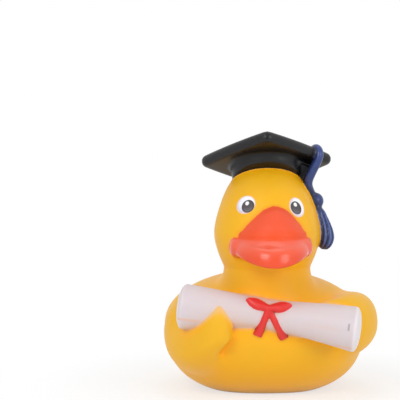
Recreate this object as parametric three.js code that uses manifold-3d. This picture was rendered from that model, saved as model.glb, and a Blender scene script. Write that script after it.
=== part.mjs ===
// Bath duck with a graduation cap and a rolled certificate, moulded in one piece as a hollow skin of soft vinyl.
// Millimetres, +Z up. The duck faces -Y, so its left side is +X. It stands on its flat foot at Z = 0.

import * as THREE from 'three';
import { LoftGeometry } from 'three/addons/geometries/LoftGeometry.js';
import { mergeVertices } from 'three/addons/utils/BufferGeometryUtils.js';
import Module from 'manifold-3d';

const wasm = await Module();
wasm.setup();

// Skin: the vinyl is of one thickness, and a small hole in the foot lets air in and out
const wallThickness = 2.0;
const airHoleRadius = 1.6;

// Body: a hull, widest at Y = 0, that is an ellipse from above
const bodyWidth = 73.6;
const breastReach = 34.0;
const tailReach = 44.0;
const waistHeight = 24.0;
const breastHeight = 25.5;
const backHeight = 43.0;
const tailHeight = 38.5;
const tailSweep = 4.5;
const keelBelowFloor = 2.4;
const hullFullness = 2.52;
const backFullness = 2.0;

// Head and neck: round from above. The collar is where the neck runs out into the body.
const headCentreY = -14.0;
const crownLeanBack = 3.6;
const collarRadius = 23.0;
const neckWidth = 30.8;
const neckHeight = 46.0;
const headWidth = 37.8;
const cheekHeight = 58.0;
const browWidth = 26.6;
const browHeight = 75.4;
const crownHeight = 82.5;

// Bill: reaches are measured forward from the middle of the head
const billWidth = 28.2;
const billReach = 29.6;
const billDip = 3.8;
const billTurn = 1.5;
const billPeakShift = 1.6;
const billLipHeight = 54.2;
const billShelfHeight = 56.6;
const billShelfWidth = 26.0;
const billShelfReach = 24.4;
const billRootHeight = 68.1;
const billRootWidth = 14.0;
const billMiddleWidth = 21.4;
const billPeakWidth = 5.0;
const chinHeight = 49.0;
const mouthLobeRadius = 2.8;

// Cap: a round band under a square board, tilted back and turned a little
const capTilt = 23.0;
const capTurn = -3.0;
const boardCentreY = -8.5;
const boardCentreHeight = 83.7;
const boardSide = 34.6;
const boardSideBulge = 0.6;
const boardThickness = 4.2;
const boardCornerRadius = 2.4;
const boardEdgeRadius = 1.4;
const boardNickRadius = 0.5;
const capBandWidth = 24.4;
const capBandHeight = 7.8;
const capBandFlare = 0.7;
const capRimSlope = 12.0;

// Tassel: a cord over the board's edge, a knot, and a fringe that lies on the side of the head
const tasselAlongEdge = 0.26;
const cordWidth = 3.8;
const cordThickness = 3.2;
const knotRadius = 3.1;
const knotHeight = 69.2;
const fringeEndHeight = 52.3;
const fringeWidth = 9.0;
const fringeThickness = 5.6;
const fringeStrands = 7;
const strandDepth = 0.35;

// Rolled certificate across the breast: pinched by its ribbon and wider at both ends
const rollRightEnd = new THREE.Vector3(-30.4, -27.2, 33.4);
const rollLeftEnd = new THREE.Vector3(29.0, -37.3, 26.6);
const rollRise = 1.2;
const rollRightRadius = 7.9;
const rollLeftRadius = 7.8;
const rollPinchRadius = 5.0;
const rollPinchAt = 0.49;
const rollEndBulge = 1.5;
const rollRimRadius = 0.8;

// Ribbon bow on the roll
const bowLoopLength = 7.6;
const bowLoopWidth = 5.0;
const bowLoopRise = 2.0;
const bowTailLength = 9.8;
const bowTailWidth = 3.4;
const bowTailLean = 10.0;
const bowSpread = 24.0;
const ribbonThickness = 2.2;

// Wings: the right one grips the roll from in front, and the left one holds it from behind
const wingMiddleHeight = 24.0;
const rightWingThickness = 9.0;
const leftWingThickness = 11.6;
const rightWingStandOff = 0.2;
const leftWingStandOff = 3.4;
const rightWingTip = new THREE.Vector3(-17.9, -34.2, 35.0);
const leftWingTip = new THREE.Vector3(18.6, -33.4, 36.8);
const wingFullness = 2.2;

const { degToRad, lerp } = THREE.MathUtils;
const vec = (x, y, z) => new THREE.Vector3(x, y, z);

// The share of a rounded section's radius: n = 2 is an ellipse, and a larger n is fuller
const rounded = (value, n) => Math.sign(value) * Math.abs(value) ** (2 / n);

// Points once round a section
function ringOf(count, pointAt) {
  return Array.from({ length: count }, (_, i) => pointAt((2 * Math.PI * i) / count));
}

// A closed three.js geometry as a solid
function solidOf(geometry) {
  const bare = new THREE.BufferGeometry();
  bare.setAttribute('position', geometry.getAttribute('position').clone());
  if (geometry.index) bare.setIndex(geometry.index.clone());
  const merged = mergeVertices(bare, 1e-4);
  const solid = new wasm.Manifold(
    new wasm.Mesh({
      numProp: 3,
      vertProperties: merged.getAttribute('position').array,
      triVerts: new Uint32Array(merged.getIndex().array),
    }),
  );
  return solid;
}

function loftSolid(sections) {
  return solidOf(new LoftGeometry(sections, { capStart: true, capEnd: true }));
}

// A smooth line through the values that belong to given heights
function smoothThrough(heights, values) {
  const curve = new THREE.CatmullRomCurve3(heights.map((height, i) => vec(values[i], 0, height)), false, 'centripetal');
  const samples = curve.getPoints(heights.length * 16);
  return (height) => {
    const clamped = THREE.MathUtils.clamp(height, heights[0], heights[heights.length - 1]);
    const reached = samples.findIndex((sample, i) => i > 0 && sample.z >= clamped);
    const next = reached < 0 ? samples.length - 1 : reached;
    const [below, above] = [samples[next - 1], samples[next]];
    return lerp(below.x, above.x, (clamped - below.z) / Math.max(above.z - below.z, 1e-9));
  };
}

// A section swept along a path. sectionAt(share, angle) gives how far the surface lies across and up at that angle.
function sweepSolid(path, rings, points, across, sectionAt) {
  const sections = Array.from({ length: rings + 1 }, (_, i) => {
    const share = i / rings;
    const centre = path.getPointAt(share);
    const along = path.getTangentAt(share);
    const up = vec(0, 0, 0).crossVectors(along, across).normalize();
    const side = vec(0, 0, 0).crossVectors(up, along).normalize();
    return ringOf(points, (angle) => {
      const [sideways, upward] = sectionAt(share, angle);
      return centre.clone().addScaledVector(side, sideways).addScaledVector(up, upward);
    });
  });
  return loftSolid(sections);
}

// Body

function hullMiddle(share) {
  return share < 0
    ? lerp(waistHeight, breastHeight, share ** 2)
    : lerp(waistHeight, tailHeight, share ** tailSweep);
}

function bodySolid(inset, rings, points) {
  const firstTurn = 0.02;
  const above = backHeight - waistHeight - inset;
  const below = waistHeight + keelBelowFloor - inset;
  const sections = Array.from({ length: rings + 1 }, (_, i) => {
    const turn = lerp(firstTurn, Math.PI - firstTurn, i / rings);
    const share = -Math.cos(turn);
    const y = share * ((share < 0 ? breastReach : tailReach) - inset);
    return ringOf(points, (angle) => {
      const isBack = Math.sin(angle) > 0;
      const n = isBack ? backFullness : hullFullness;
      const x = rounded(Math.cos(angle), n) * (bodyWidth / 2 - inset);
      const z = rounded(Math.sin(angle), n) * (isBack ? above : below);
      return vec(x * Math.sin(turn), y, hullMiddle(share) + z * Math.sin(turn));
    }).reverse();
  });
  return loftSolid(sections);
}

// The height of the back above a point of the plan
function backAt(x, y) {
  const share = y / (y < 0 ? breastReach : tailReach);
  const round = Math.sqrt(Math.max(1 - share ** 2, 0));
  const across = Math.min(Math.abs(x) / Math.max((bodyWidth / 2) * round, 1e-6), 1);
  return hullMiddle(share) + (backHeight - waistHeight) * round * (1 - across ** backFullness) ** (1 / backFullness);
}

// How far forward the breast comes at a place seen from the front
function breastAt(x, z) {
  let share = 1;
  for (let i = 0; i < 6; i++) {
    const up = z - hullMiddle(-share);
    const n = up > 0 ? backFullness : hullFullness;
    const reach = up > 0 ? backHeight - waistHeight : waistHeight + keelBelowFloor;
    const used = (Math.abs(x) / (bodyWidth / 2)) ** n + (Math.abs(up) / reach) ** n;
    share = Math.sqrt(Math.max(1 - Math.min(used, 1) ** (2 / n), 0));
  }
  return -share * breastReach;
}

// Head and neck

const headRadius = smoothThrough(
  [neckHeight, lerp(neckHeight, cheekHeight, 0.5), cheekHeight, lerp(cheekHeight, browHeight, 0.5), browHeight,
    lerp(browHeight, crownHeight, 0.75), crownHeight],
  [neckWidth / 2, headWidth / 2 - 1.1, headWidth / 2, lerp(headWidth, browWidth, 0.32) / 2, browWidth / 2,
    browWidth * 0.31, 0.2],
);
const headMiddleY = (height) =>
  headCentreY + crownLeanBack * THREE.MathUtils.clamp((height - cheekHeight) / (crownHeight - cheekHeight), 0, 1);

function headSolid(inset, rings, points) {
  const sections = [];
  const neckRings = Math.round(rings / 3);
  for (let i = 0; i < neckRings; i++) {
    const turn = ((1 - i / neckRings) * Math.PI) / 2;
    sections.push(ringOf(points, (angle) => {
      const rootX = Math.cos(angle) * collarRadius;
      const forward = Math.sin(angle) < 0 ? breastReach + headCentreY - 1 : collarRadius;
      const rootY = headCentreY + Math.sin(angle) * forward;
      const rootZ = backAt(rootX, rootY) - 0.4 - inset;
      const neck = vec(Math.cos(angle), Math.sin(angle), 0).multiplyScalar(neckWidth / 2 - inset);
      const spread = 1 - Math.cos(turn);
      return vec(
        lerp(neck.x, rootX, spread),
        lerp(headCentreY + neck.y, rootY, spread),
        lerp(neckHeight, rootZ, Math.sin(turn)),
      );
    }));
  }
  for (let i = 0; i <= rings; i++) {
    const height = lerp(neckHeight, crownHeight - inset, Math.sin(((i / rings) * Math.PI) / 2));
    const radius = Math.max(headRadius(height + inset * (i / rings)) - inset, 0.2);
    sections.push(ringOf(points, (angle) =>
      vec(Math.cos(angle) * radius, headMiddleY(height) + Math.sin(angle) * radius, height)));
  }
  return loftSolid(sections);
}

// Bill: level slices, each round in front, from the chin up to the root between the eyes

const underBill = [0, 0.07, 0.24, 0.52, 0.77];
const overBill = [0, 0.5, 1, 1.5, 1.88, 2];
const billHeights = [
  ...underBill.map((share) => lerp(chinHeight, billLipHeight, share)),
  ...overBill.map((share) => share <= 1
    ? lerp(billLipHeight, billShelfHeight, share)
    : lerp(billShelfHeight, billRootHeight, share - 1)),
];
const billHalfWidth = smoothThrough(billHeights, [
  ...underBill.map((share) => (billWidth / 2) * Math.sqrt(1 - (1 - share) ** 2) + 0.3),
  billWidth / 2, lerp(billWidth, billShelfWidth, 0.45) / 2, billShelfWidth / 2,
  billMiddleWidth / 2, billRootWidth / 2, billPeakWidth / 2,
]);
const billForward = smoothThrough(billHeights, [
  ...underBill.map((share) => lerp(headWidth / 2 - 2, billReach, Math.sqrt(1 - (1 - share) ** 2))),
  billReach, billReach - 0.9, billShelfReach,
  lerp(billShelfReach, headWidth / 2, 0.5), headWidth / 2 - 0.6, headWidth / 2 - 3,
]);

function billSolid(rings, points) {
  const root = headCentreY - headWidth / 4;
  const sections = Array.from({ length: rings + 1 }, (_, i) => {
    const height = lerp(chinHeight, billRootHeight, i / rings);
    const forward = headCentreY - billForward(height);
    const aside = billPeakShift * Math.max((height - billLipHeight) / (billRootHeight - billLipHeight), 0);
    const dipping = THREE.MathUtils.clamp((billShelfHeight - height) / (billShelfHeight - billLipHeight), 0, 1);
    return ringOf(points, (angle) => {
      const y = Math.sin(angle) < 0 ? (root - forward) * Math.sin(angle) : 4 * Math.sin(angle);
      const ahead = Math.max(-y, 0) / (billReach - headWidth / 4);
      return vec(Math.cos(angle) * billHalfWidth(height) + aside, root + y, height - billDip * dipping * ahead ** 2);
    });
  });
  let bill = loftSolid(sections);
  for (const side of [-1, 1]) {
    const lobe = new THREE.SphereGeometry(mouthLobeRadius, 14, 10);
    lobe.scale(0.9, 1.4, 1.3);
    lobe.translate(side * (billWidth / 2 - mouthLobeRadius * 0.72), root - headWidth / 8, billLipHeight);
    bill = bill.add(solidOf(lobe));
  }
  return bill.translate([0, -headCentreY, 0]).rotate([0, 0, billTurn]).translate([0, headCentreY, 0]);
}

// Cap: board and band share one frame, with its origin in the middle of the board

const capFrame = new THREE.Matrix4()
  .makeTranslation(0, boardCentreY, boardCentreHeight)
  .multiply(new THREE.Matrix4().makeRotationX(-degToRad(capTilt)))
  .multiply(new THREE.Matrix4().makeRotationZ(degToRad(45 + capTurn)));

function boardSolid() {
  const half = boardSide / 2 - boardEdgeRadius;
  const corner = boardCornerRadius - boardEdgeRadius;
  const middle = half + 2 * boardSideBulge;
  const outline = new THREE.Shape();
  outline.moveTo(half, -half + corner);
  outline.quadraticCurveTo(middle, 0, half, half - corner);
  outline.absarc(half - corner, half - corner, corner, 0, Math.PI / 2);
  outline.quadraticCurveTo(0, middle, -half + corner, half);
  outline.absarc(-half + corner, half - corner, corner, Math.PI / 2, Math.PI);
  outline.quadraticCurveTo(-middle, 0, -half, -half + corner);
  outline.absarc(-half + corner, -half + corner, corner, Math.PI, 1.5 * Math.PI);
  outline.quadraticCurveTo(0, -middle, half - corner, -half);
  outline.absarc(half - corner, -half + corner, corner, 1.5 * Math.PI, 2 * Math.PI);
  const board = new THREE.ExtrudeGeometry(outline, {
    depth: boardThickness - 2 * boardEdgeRadius,
    bevelThickness: boardEdgeRadius,
    bevelSize: boardEdgeRadius,
    bevelSegments: 3,
    curveSegments: 4,
  });
  board.translate(0, 0, -(boardThickness - 2 * boardEdgeRadius) / 2);
  // A small nick in the front corner, as the moulded cap has
  const reach = (boardSide / 2 - boardCornerRadius) * Math.SQRT2 + boardCornerRadius;
  const nick = new THREE.CylinderGeometry(boardNickRadius, boardNickRadius, boardThickness, 12);
  nick.rotateX(Math.PI / 2);
  nick.translate(-reach / Math.SQRT2, -reach / Math.SQRT2, boardThickness / 3);
  return solidOf(board.applyMatrix4(capFrame)).subtract(solidOf(nick.applyMatrix4(capFrame)));
}

function capBandSolid(points) {
  const under = boardThickness / 2;
  const slope = Math.tan(degToRad(capRimSlope));
  const rings = [
    [capBandWidth / 2 - 0.6, capBandHeight, 1],
    [capBandWidth / 2, capBandHeight - 0.6, 1],
    [capBandWidth / 2 + capBandFlare / 2, lerp(under, capBandHeight, 0.5), 0.5],
    [capBandWidth / 2 + capBandFlare, under + 0.6, 0],
    [capBandWidth / 2 + capBandFlare + 0.8, under, 0],
    [capBandWidth / 2 + capBandFlare, 0, 0],
  ];
  const backward = degToRad(45 - capTurn);
  return loftSolid(rings.map(([radius, drop, share]) => ringOf(points, (angle) => {
    const back = Math.cos(angle - backward) * radius;
    return vec(Math.cos(angle) * radius, Math.sin(angle) * radius, -drop - back * slope * share)
      .applyMatrix4(capFrame);
  })));
}

// Tassel

function tasselSolid() {
  const half = boardSide / 2;
  const along = lerp(half, -half, tasselAlongEdge);
  const onBoard = (outward, height) => vec(along, -outward, height).applyMatrix4(capFrame);
  const onHead = (height, standOff) => vec(headRadius(height) + standOff, headMiddleY(height), height);
  const cordStart = onBoard(half - cordWidth * 0.75, boardThickness / 2 - cordThickness * 0.3);
  const cordTop = onBoard(half - 0.5, boardThickness / 2 - cordThickness * 0.1);
  const cordEdge = onBoard(half + cordThickness * 0.25, -boardThickness / 4);
  const underBoard = boardCentreHeight - boardThickness - 3.5;
  const path = new THREE.CatmullRomCurve3([
    cordStart,
    cordTop,
    cordEdge,
    onHead(underBoard, 1.6).add(vec(0, -3.5, 0)),
    onHead(lerp(underBoard, knotHeight, 0.45), 0.6).add(vec(0, -1.5, 0)),
    onHead(knotHeight, 0.8),
  ]);
  const cord = sweepSolid(path, 22, 12, vec(0, 1, 0), (share, angle) =>
    [(Math.cos(angle) * cordWidth) / 2, (Math.sin(angle) * cordThickness) / 2]);
  const knot = new THREE.SphereGeometry(knotRadius, 16, 10);
  knot.translate(...onHead(knotHeight, 1.0));
  const fringePath = new THREE.CatmullRomCurve3([
    onHead(knotHeight, 0.8),
    onHead(lerp(knotHeight, fringeEndHeight, 0.33), 0.9),
    onHead(lerp(knotHeight, fringeEndHeight, 0.7), 1.7),
    onHead(fringeEndHeight, 2.4),
  ]);
  const fringe = sweepSolid(fringePath, 10, 28, vec(0, 1, 0), (share, angle) => {
    const spread = Math.min(1, 0.42 + 0.75 * share) * Math.min(1, Math.sqrt(Math.max(1 - share, 0) * 8) + 0.35);
    const strand = 1 + (strandDepth / fringeThickness) * Math.cos(angle * fringeStrands);
    return [(Math.cos(angle) * fringeWidth * spread * strand) / 2,
      (Math.sin(angle) * fringeThickness * spread * strand) / 2];
  });
  const webTop = onHead(underBoard + 2, 0.6);
  const web = sweepSolid(
    new THREE.CatmullRomCurve3([webTop, onHead(lerp(underBoard, knotHeight, 0.4), -0.9), onHead(knotHeight, -0.6)]),
    6, 12, vec(0, 1, 0), (share, angle) => [Math.cos(angle) * lerp(3.4, 2, share), Math.sin(angle) * lerp(4.4, 1.8, share)]);
  return cord.add(solidOf(knot)).add(fringe).add(web);
}

// Rolled certificate

const rollAxis = rollLeftEnd.clone().sub(rollRightEnd);
const rollLength = rollAxis.length();
const rollTurn = new THREE.Quaternion().setFromUnitVectors(vec(0, 0, 1), rollAxis.clone().normalize());
const rollFrame = new THREE.Matrix4().compose(rollRightEnd, rollTurn, vec(1, 1, 1));

// The roll's middle rises a little above the straight line between its ends
const rollRiseAt = (share) => rollRise * 4 * share * (1 - share);
const rollCentre = (share) => rollRightEnd.clone().lerp(rollLeftEnd, share).add(vec(0, 0, rollRiseAt(share)));

function rollRadiusAt(share) {
  const isRight = share < rollPinchAt;
  const away = isRight ? (rollPinchAt - share) / rollPinchAt : (share - rollPinchAt) / (1 - rollPinchAt);
  return lerp(rollPinchRadius, isRight ? rollRightRadius : rollLeftRadius, Math.max(away, 0) ** 1.15);
}

// Each end of the roll bulges a little inside a rounded rim
function rollSolid(points) {
  const domeSteps = 6;
  const dome = (radius, base, outward) => Array.from({ length: domeSteps }, (_, i) => {
    const turn = ((i + 1) / domeSteps) * (Math.PI / 2);
    return new THREE.Vector2((radius - rollRimRadius) * Math.cos(turn), base + outward * rollEndBulge * Math.sin(turn));
  });
  const outer = Array.from({ length: 15 }, (_, i) =>
    new THREE.Vector2(rollRadiusAt(i / 14), lerp(rollRimRadius, rollLength - rollRimRadius, i / 14)));
  const profile = [
    ...dome(rollRightRadius, 0, -1).reverse(),
    new THREE.Vector2(rollRightRadius - rollRimRadius * 0.4, 0),
    ...outer,
    new THREE.Vector2(rollLeftRadius - rollRimRadius * 0.4, rollLength),
    ...dome(rollLeftRadius, rollLength, 1),
  ];
  profile[0].x = 0;
  profile[profile.length - 1].x = 0;
  const roll = new THREE.LatheGeometry(profile, points);
  roll.rotateX(Math.PI / 2);
  const place = roll.getAttribute('position');
  const rises = Array.from({ length: place.count }, (_, i) =>
    rollRiseAt(THREE.MathUtils.clamp(place.getZ(i) / rollLength, 0, 1)));
  roll.applyMatrix4(rollFrame);
  rises.forEach((rise, i) => place.setZ(i, place.getZ(i) + rise));
  return solidOf(roll);
}

// Bow: it lies on the front of the roll at the pinch, and its tails run down over the breast

function bowSolid() {
  const middle = rollCentre(rollPinchAt);
  const slope = Math.atan2(rollAxis.z, rollAxis.x);
  const front = (x, z) => {
    const up = z - (middle.z + Math.tan(slope) * (x - middle.x));
    const rollY = middle.y + (rollAxis.y / rollAxis.x) * (x - middle.x);
    const radius = rollRadiusAt((x - rollRightEnd.x) / (rollLeftEnd.x - rollRightEnd.x));
    const onRoll = Math.abs(up) < radius ? rollY - Math.sqrt(radius ** 2 - up ** 2) : 0;
    return Math.min(onRoll, breastAt(x, z));
  };
  const placed = (along, up) => {
    const x = middle.x + along * Math.cos(slope) - up * Math.sin(slope);
    const z = middle.z + along * Math.sin(slope) + up * Math.cos(slope);
    return vec(x, front(x, z) + 0.1, z);
  };
  const knotUp = rollPinchRadius * 0.5;
  const knot = new THREE.SphereGeometry(1.9, 14, 10);
  knot.scale(1, 0.75, 1);
  knot.translate(...placed(0, knotUp));
  let bow = solidOf(knot);
  const roundRoll = Math.asin(Math.min((knotUp + bowLoopRise * 0.6) / rollPinchRadius, 1)) * 0.8;
  const overRoll = vec(0, Math.sin(roundRoll), Math.cos(roundRoll));
  for (const side of [-1, 1]) {
    const loop = new THREE.CatmullRomCurve3([0, 0.35, 0.7, 1].map((share) =>
      placed(side * share * bowLoopLength, knotUp + bowLoopRise * share)));
    bow = bow.add(sweepSolid(loop, 8, 12, overRoll, (share, angle) => {
      const width = (bowLoopWidth / 2) * Math.sqrt(Math.sin(Math.PI * lerp(0.02, 0.97, share ** 1.5)));
      return [Math.cos(angle) * width, Math.sin(angle) * ribbonThickness * 0.6];
    }));
    const lean = Math.tan(degToRad(bowTailLean + bowSpread * side));
    const tail = new THREE.CatmullRomCurve3([0, 0.3, 0.6, 1].map((share) =>
      placed(lean * share * bowTailLength, knotUp - share * bowTailLength)));
    bow = bow.add(sweepSolid(tail, 8, 12, vec(1, 0, 0), (share, angle) =>
      [(Math.cos(angle) * bowTailWidth * lerp(0.6, 1, share)) / 2, Math.sin(angle) * ribbonThickness * 0.5]));
  }
  return bow;
}

// Wings: each swells out of the hull and runs forward to the roll. A row gives the middle of its section in plan,
// its top, its bottom, its thickness and how far its lower end leans in towards the hull.

function wingSolid(rows) {
  const middles = new THREE.CatmullRomCurve3(
    rows.map(([x, y, top, bottom]) => vec(x, y, lerp(bottom, top, 0.5))), false, 'catmullrom');
  const sizes = new THREE.CatmullRomCurve3(
    rows.map(([, , top, bottom, thickness, lean]) => vec(top - bottom, thickness, lean)), false, 'catmullrom');
  const rings = 20;
  const sections = Array.from({ length: rings + 1 }, (_, i) => {
    const middle = middles.getPoint(i / rings);
    const along = middles.getTangent(i / rings).setZ(0).normalize();
    const across = vec(0, 0, 1).cross(along);
    const inward = -Math.sign(across.dot(middle));
    const { x: height, y: thickness, z: lean } = sizes.getPoint(i / rings);
    return ringOf(16, (angle) => {
      const sideways = rounded(Math.cos(angle), wingFullness) * Math.max(thickness, 0.8) * 0.5;
      const up = rounded(Math.sin(angle), wingFullness);
      return middle.clone()
        .addScaledVector(across, sideways + inward * lean * Math.max(-up, 0) ** 2)
        .add(vec(0, 0, (up * Math.max(height, 1)) / 2));
    });
  });
  return loftSolid(sections);
}

function wingsSolid() {
  const half = bodyWidth / 2;
  const mid = wingMiddleHeight;
  const rightSide = -half - rightWingStandOff + rightWingThickness / 2;
  const leftSide = half + leftWingStandOff - leftWingThickness / 2;
  const towardsTip = (side, tip, share) => lerp(side, tip.x, share);
  const right = wingSolid([
    [rightSide + 5, 5, mid + 4, mid - 6, rightWingThickness * 0.6, 1],
    [rightSide + 1, -2, mid + 7, mid - 11, rightWingThickness, 3],
    [rightSide, -10, mid + 6.5, mid - 14, rightWingThickness, 4],
    [towardsTip(rightSide, rightWingTip, 0.12), -18, mid + 2.5, mid - 16, rightWingThickness, 5],
    [towardsTip(rightSide, rightWingTip, 0.36), -25, mid + 2.2, mid - 15.5, rightWingThickness, 7],
    [towardsTip(rightSide, rightWingTip, 0.62), rightWingTip.y + 4.2, rightWingTip.z - 5.6, mid - 14,
      rightWingThickness * 0.95, 9],
    [towardsTip(rightSide, rightWingTip, 0.84), rightWingTip.y + 1.2, rightWingTip.z - 2, mid - 12,
      rightWingThickness * 0.9, 10],
    [rightWingTip.x + 0.2, rightWingTip.y, rightWingTip.z + 0.2, mid - 10, rightWingThickness * 0.82, 10],
    [rightWingTip.x + 2.1, rightWingTip.y + 0.1, rightWingTip.z - 2, mid - 8, rightWingThickness * 0.7, 9],
    [rightWingTip.x + 3.4, rightWingTip.y + 1.0, rightWingTip.z - 6.5, mid - 5.5, rightWingThickness * 0.5, 7],
    [rightWingTip.x + 4.2, rightWingTip.y + 2.6, rightWingTip.z - 11, mid - 2, rightWingThickness * 0.25, 4],
  ]);
  const left = wingSolid([
    [leftSide - 5, 5, mid + 7, mid - 4, leftWingThickness * 0.6, 1],
    [leftSide - 3, -2, mid + 11.2, mid - 8.5, leftWingThickness * 1.3, 2],
    [leftSide - 3.2, -10.5, mid + 12.4, mid - 10, leftWingThickness * 1.55, 3],
    [towardsTip(leftSide, leftWingTip, 0.11) - 3.4, -18, mid + 13.2, mid - 10.5, leftWingThickness * 1.55, 3],
    [towardsTip(leftSide, leftWingTip, 0.34) - 2, leftWingTip.y + 9, leftWingTip.z + 0.4, mid - 8,
      leftWingThickness * 1.25, 3],
    [towardsTip(leftSide, leftWingTip, 0.66), leftWingTip.y + 4.4, leftWingTip.z - 0.2, mid - 2,
      leftWingThickness * 0.9, 1],
    [leftWingTip.x, leftWingTip.y + 2.4, leftWingTip.z - 1, mid + 3, leftWingThickness * 0.6, 0],
    [leftWingTip.x - 2.4, leftWingTip.y + 1.8, leftWingTip.z - 2.6, mid + 5.5, leftWingThickness * 0.3, 0],
  ]);
  return right.add(left);
}

// The whole duck: outer form, less the hollow and the air hole

const cavity = bodySolid(wallThickness, 12, 20)
  .add(headSolid(wallThickness, 8, 16))
  .trimByPlane([0, 0, 1], wallThickness);
const airHole = new THREE.CylinderGeometry(airHoleRadius, airHoleRadius, 4 * wallThickness, 20);
airHole.rotateX(Math.PI / 2);
airHole.translate(0, 0, wallThickness);

// Where forms meet, the vinyl fills any pocket that they close in between them
const outerForm = bodySolid(0, 24, 38)
  .add(headSolid(0, 18, 30))
  .add(billSolid(20, 28))
  .add(capBandSolid(30))
  .add(boardSolid())
  .add(tasselSolid())
  .add(rollSolid(24))
  .add(wingsSolid())
  .add(bowSolid())
  .trimByPlane([0, 0, 1], 0)
  .decompose()
  .filter((shell) => shell.volume() > 0)
  .reduce((whole, shell) => whole.add(shell));
const pierced = outerForm.subtract(cavity).subtract(solidOf(airHole));
const { min, max } = pierced.boundingBox();
const duckSolid = pierced.translate([-(min[0] + max[0]) / 2, -(min[1] + max[1]) / 2, 0]);

const made = duckSolid.getMesh();
const geometry = new THREE.BufferGeometry();
geometry.setAttribute('position', new THREE.BufferAttribute(made.vertProperties, 3));
geometry.setIndex(new THREE.BufferAttribute(made.triVerts, 1));

const duckMesh = new THREE.Mesh(
  geometry,
  new THREE.MeshStandardMaterial({ color: 0xf2b632, roughness: 0.5, metalness: 0 }),
);
duckMesh.name = 'duck';
const duck = new THREE.Group();
duck.add(duckMesh);

export default duck;
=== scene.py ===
"""Looks of a moulded vinyl bath duck that wears a graduation cap and holds a rolled paper.

The duck is one hollow moulding, so it is built here as one skin. Each form of the moulding is made fine,
the forms are fused, their joins are softened, and the skin is hollowed. The sprayed and printed paint lies
on that skin. Sizes are in millimetres, and the duck faces -Y with its left side on +X.
"""

import logging
import math
from dataclasses import dataclass
from enum import Enum
from functools import reduce
from typing import Callable, Sequence

import bpy
import numpy as np
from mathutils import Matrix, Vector
from mathutils.bvhtree import BVHTree


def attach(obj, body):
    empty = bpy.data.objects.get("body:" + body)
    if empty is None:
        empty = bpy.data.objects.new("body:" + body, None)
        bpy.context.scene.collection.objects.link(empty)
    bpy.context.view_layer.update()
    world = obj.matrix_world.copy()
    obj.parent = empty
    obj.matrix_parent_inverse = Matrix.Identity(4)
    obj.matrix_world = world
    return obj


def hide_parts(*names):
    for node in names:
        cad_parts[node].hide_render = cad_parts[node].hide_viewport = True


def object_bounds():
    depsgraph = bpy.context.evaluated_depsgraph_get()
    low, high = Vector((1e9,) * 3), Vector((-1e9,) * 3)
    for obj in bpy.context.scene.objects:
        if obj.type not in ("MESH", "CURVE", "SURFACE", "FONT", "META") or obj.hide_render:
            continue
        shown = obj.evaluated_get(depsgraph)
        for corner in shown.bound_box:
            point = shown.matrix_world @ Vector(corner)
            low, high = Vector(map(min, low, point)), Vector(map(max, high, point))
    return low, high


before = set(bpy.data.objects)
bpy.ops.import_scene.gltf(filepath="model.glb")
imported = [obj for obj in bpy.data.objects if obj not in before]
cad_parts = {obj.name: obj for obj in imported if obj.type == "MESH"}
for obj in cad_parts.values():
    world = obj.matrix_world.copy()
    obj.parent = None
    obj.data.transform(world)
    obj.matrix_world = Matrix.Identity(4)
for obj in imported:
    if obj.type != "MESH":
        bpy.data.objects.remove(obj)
CAD_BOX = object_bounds()

logging.basicConfig(level=logging.INFO, format="%(message)s")
LOG = logging.getLogger("duck")

MM = 0.001
NODE = "duck"
BODY = "root"

Array = np.ndarray
Sizes = Callable[[float], tuple[float, float]]
Socket = bpy.types.NodeSocket


class Form(Enum):
    """The forms of the moulding, each of which can carry its own paint."""

    HULL = "hull"
    HEAD = "head"
    BILL = "bill"
    CAP = "cap"
    TASSEL = "tassel"
    WEB = "web"
    ROLL = "roll"
    RIGHT_WING = "right_wing"
    LEFT_WING = "left_wing"
    BOW = "bow"


# Small tools for shapes


def vec(x: float, y: float, z: float) -> Array:
    """Gives a point or direction."""
    return np.array([x, y, z], float)


def unit(direction: Array) -> Array:
    """Scales directions to length one."""
    length = np.linalg.norm(direction, axis=-1, keepdims=True)
    return direction / np.maximum(length, 1e-12)


def lerp(start: float, end: float, share: float) -> float:
    """Goes a share of the way from one value to another."""
    return start + (end - start) * share


def rounded(value: Array, fullness: float) -> Array:
    """Gives the reach of a rounded section, where fullness 2 is an ellipse."""
    return np.sign(value) * np.abs(value) ** (2.0 / fullness)


def turned(x: Array, y: Array, angle: float) -> tuple[Array, Array]:
    """Turns a pair of coordinates by an angle in radians."""
    return x * math.cos(angle) - y * math.sin(angle), x * math.sin(angle) + y * math.cos(angle)


def ring(x: Array, y: Array, z: Array) -> Array:
    """Gives points from their coordinates, any of which may be one number for all."""
    return np.stack(np.broadcast_arrays(x, y, z), -1).astype(float)


def smoothstep(value: Array, low: float, high: float) -> Array:
    """Rises smoothly from 0 at low to 1 at high."""
    share = np.clip((value - low) / (high - low), 0.0, 1.0)
    return share * share * (3.0 - 2.0 * share)


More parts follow.
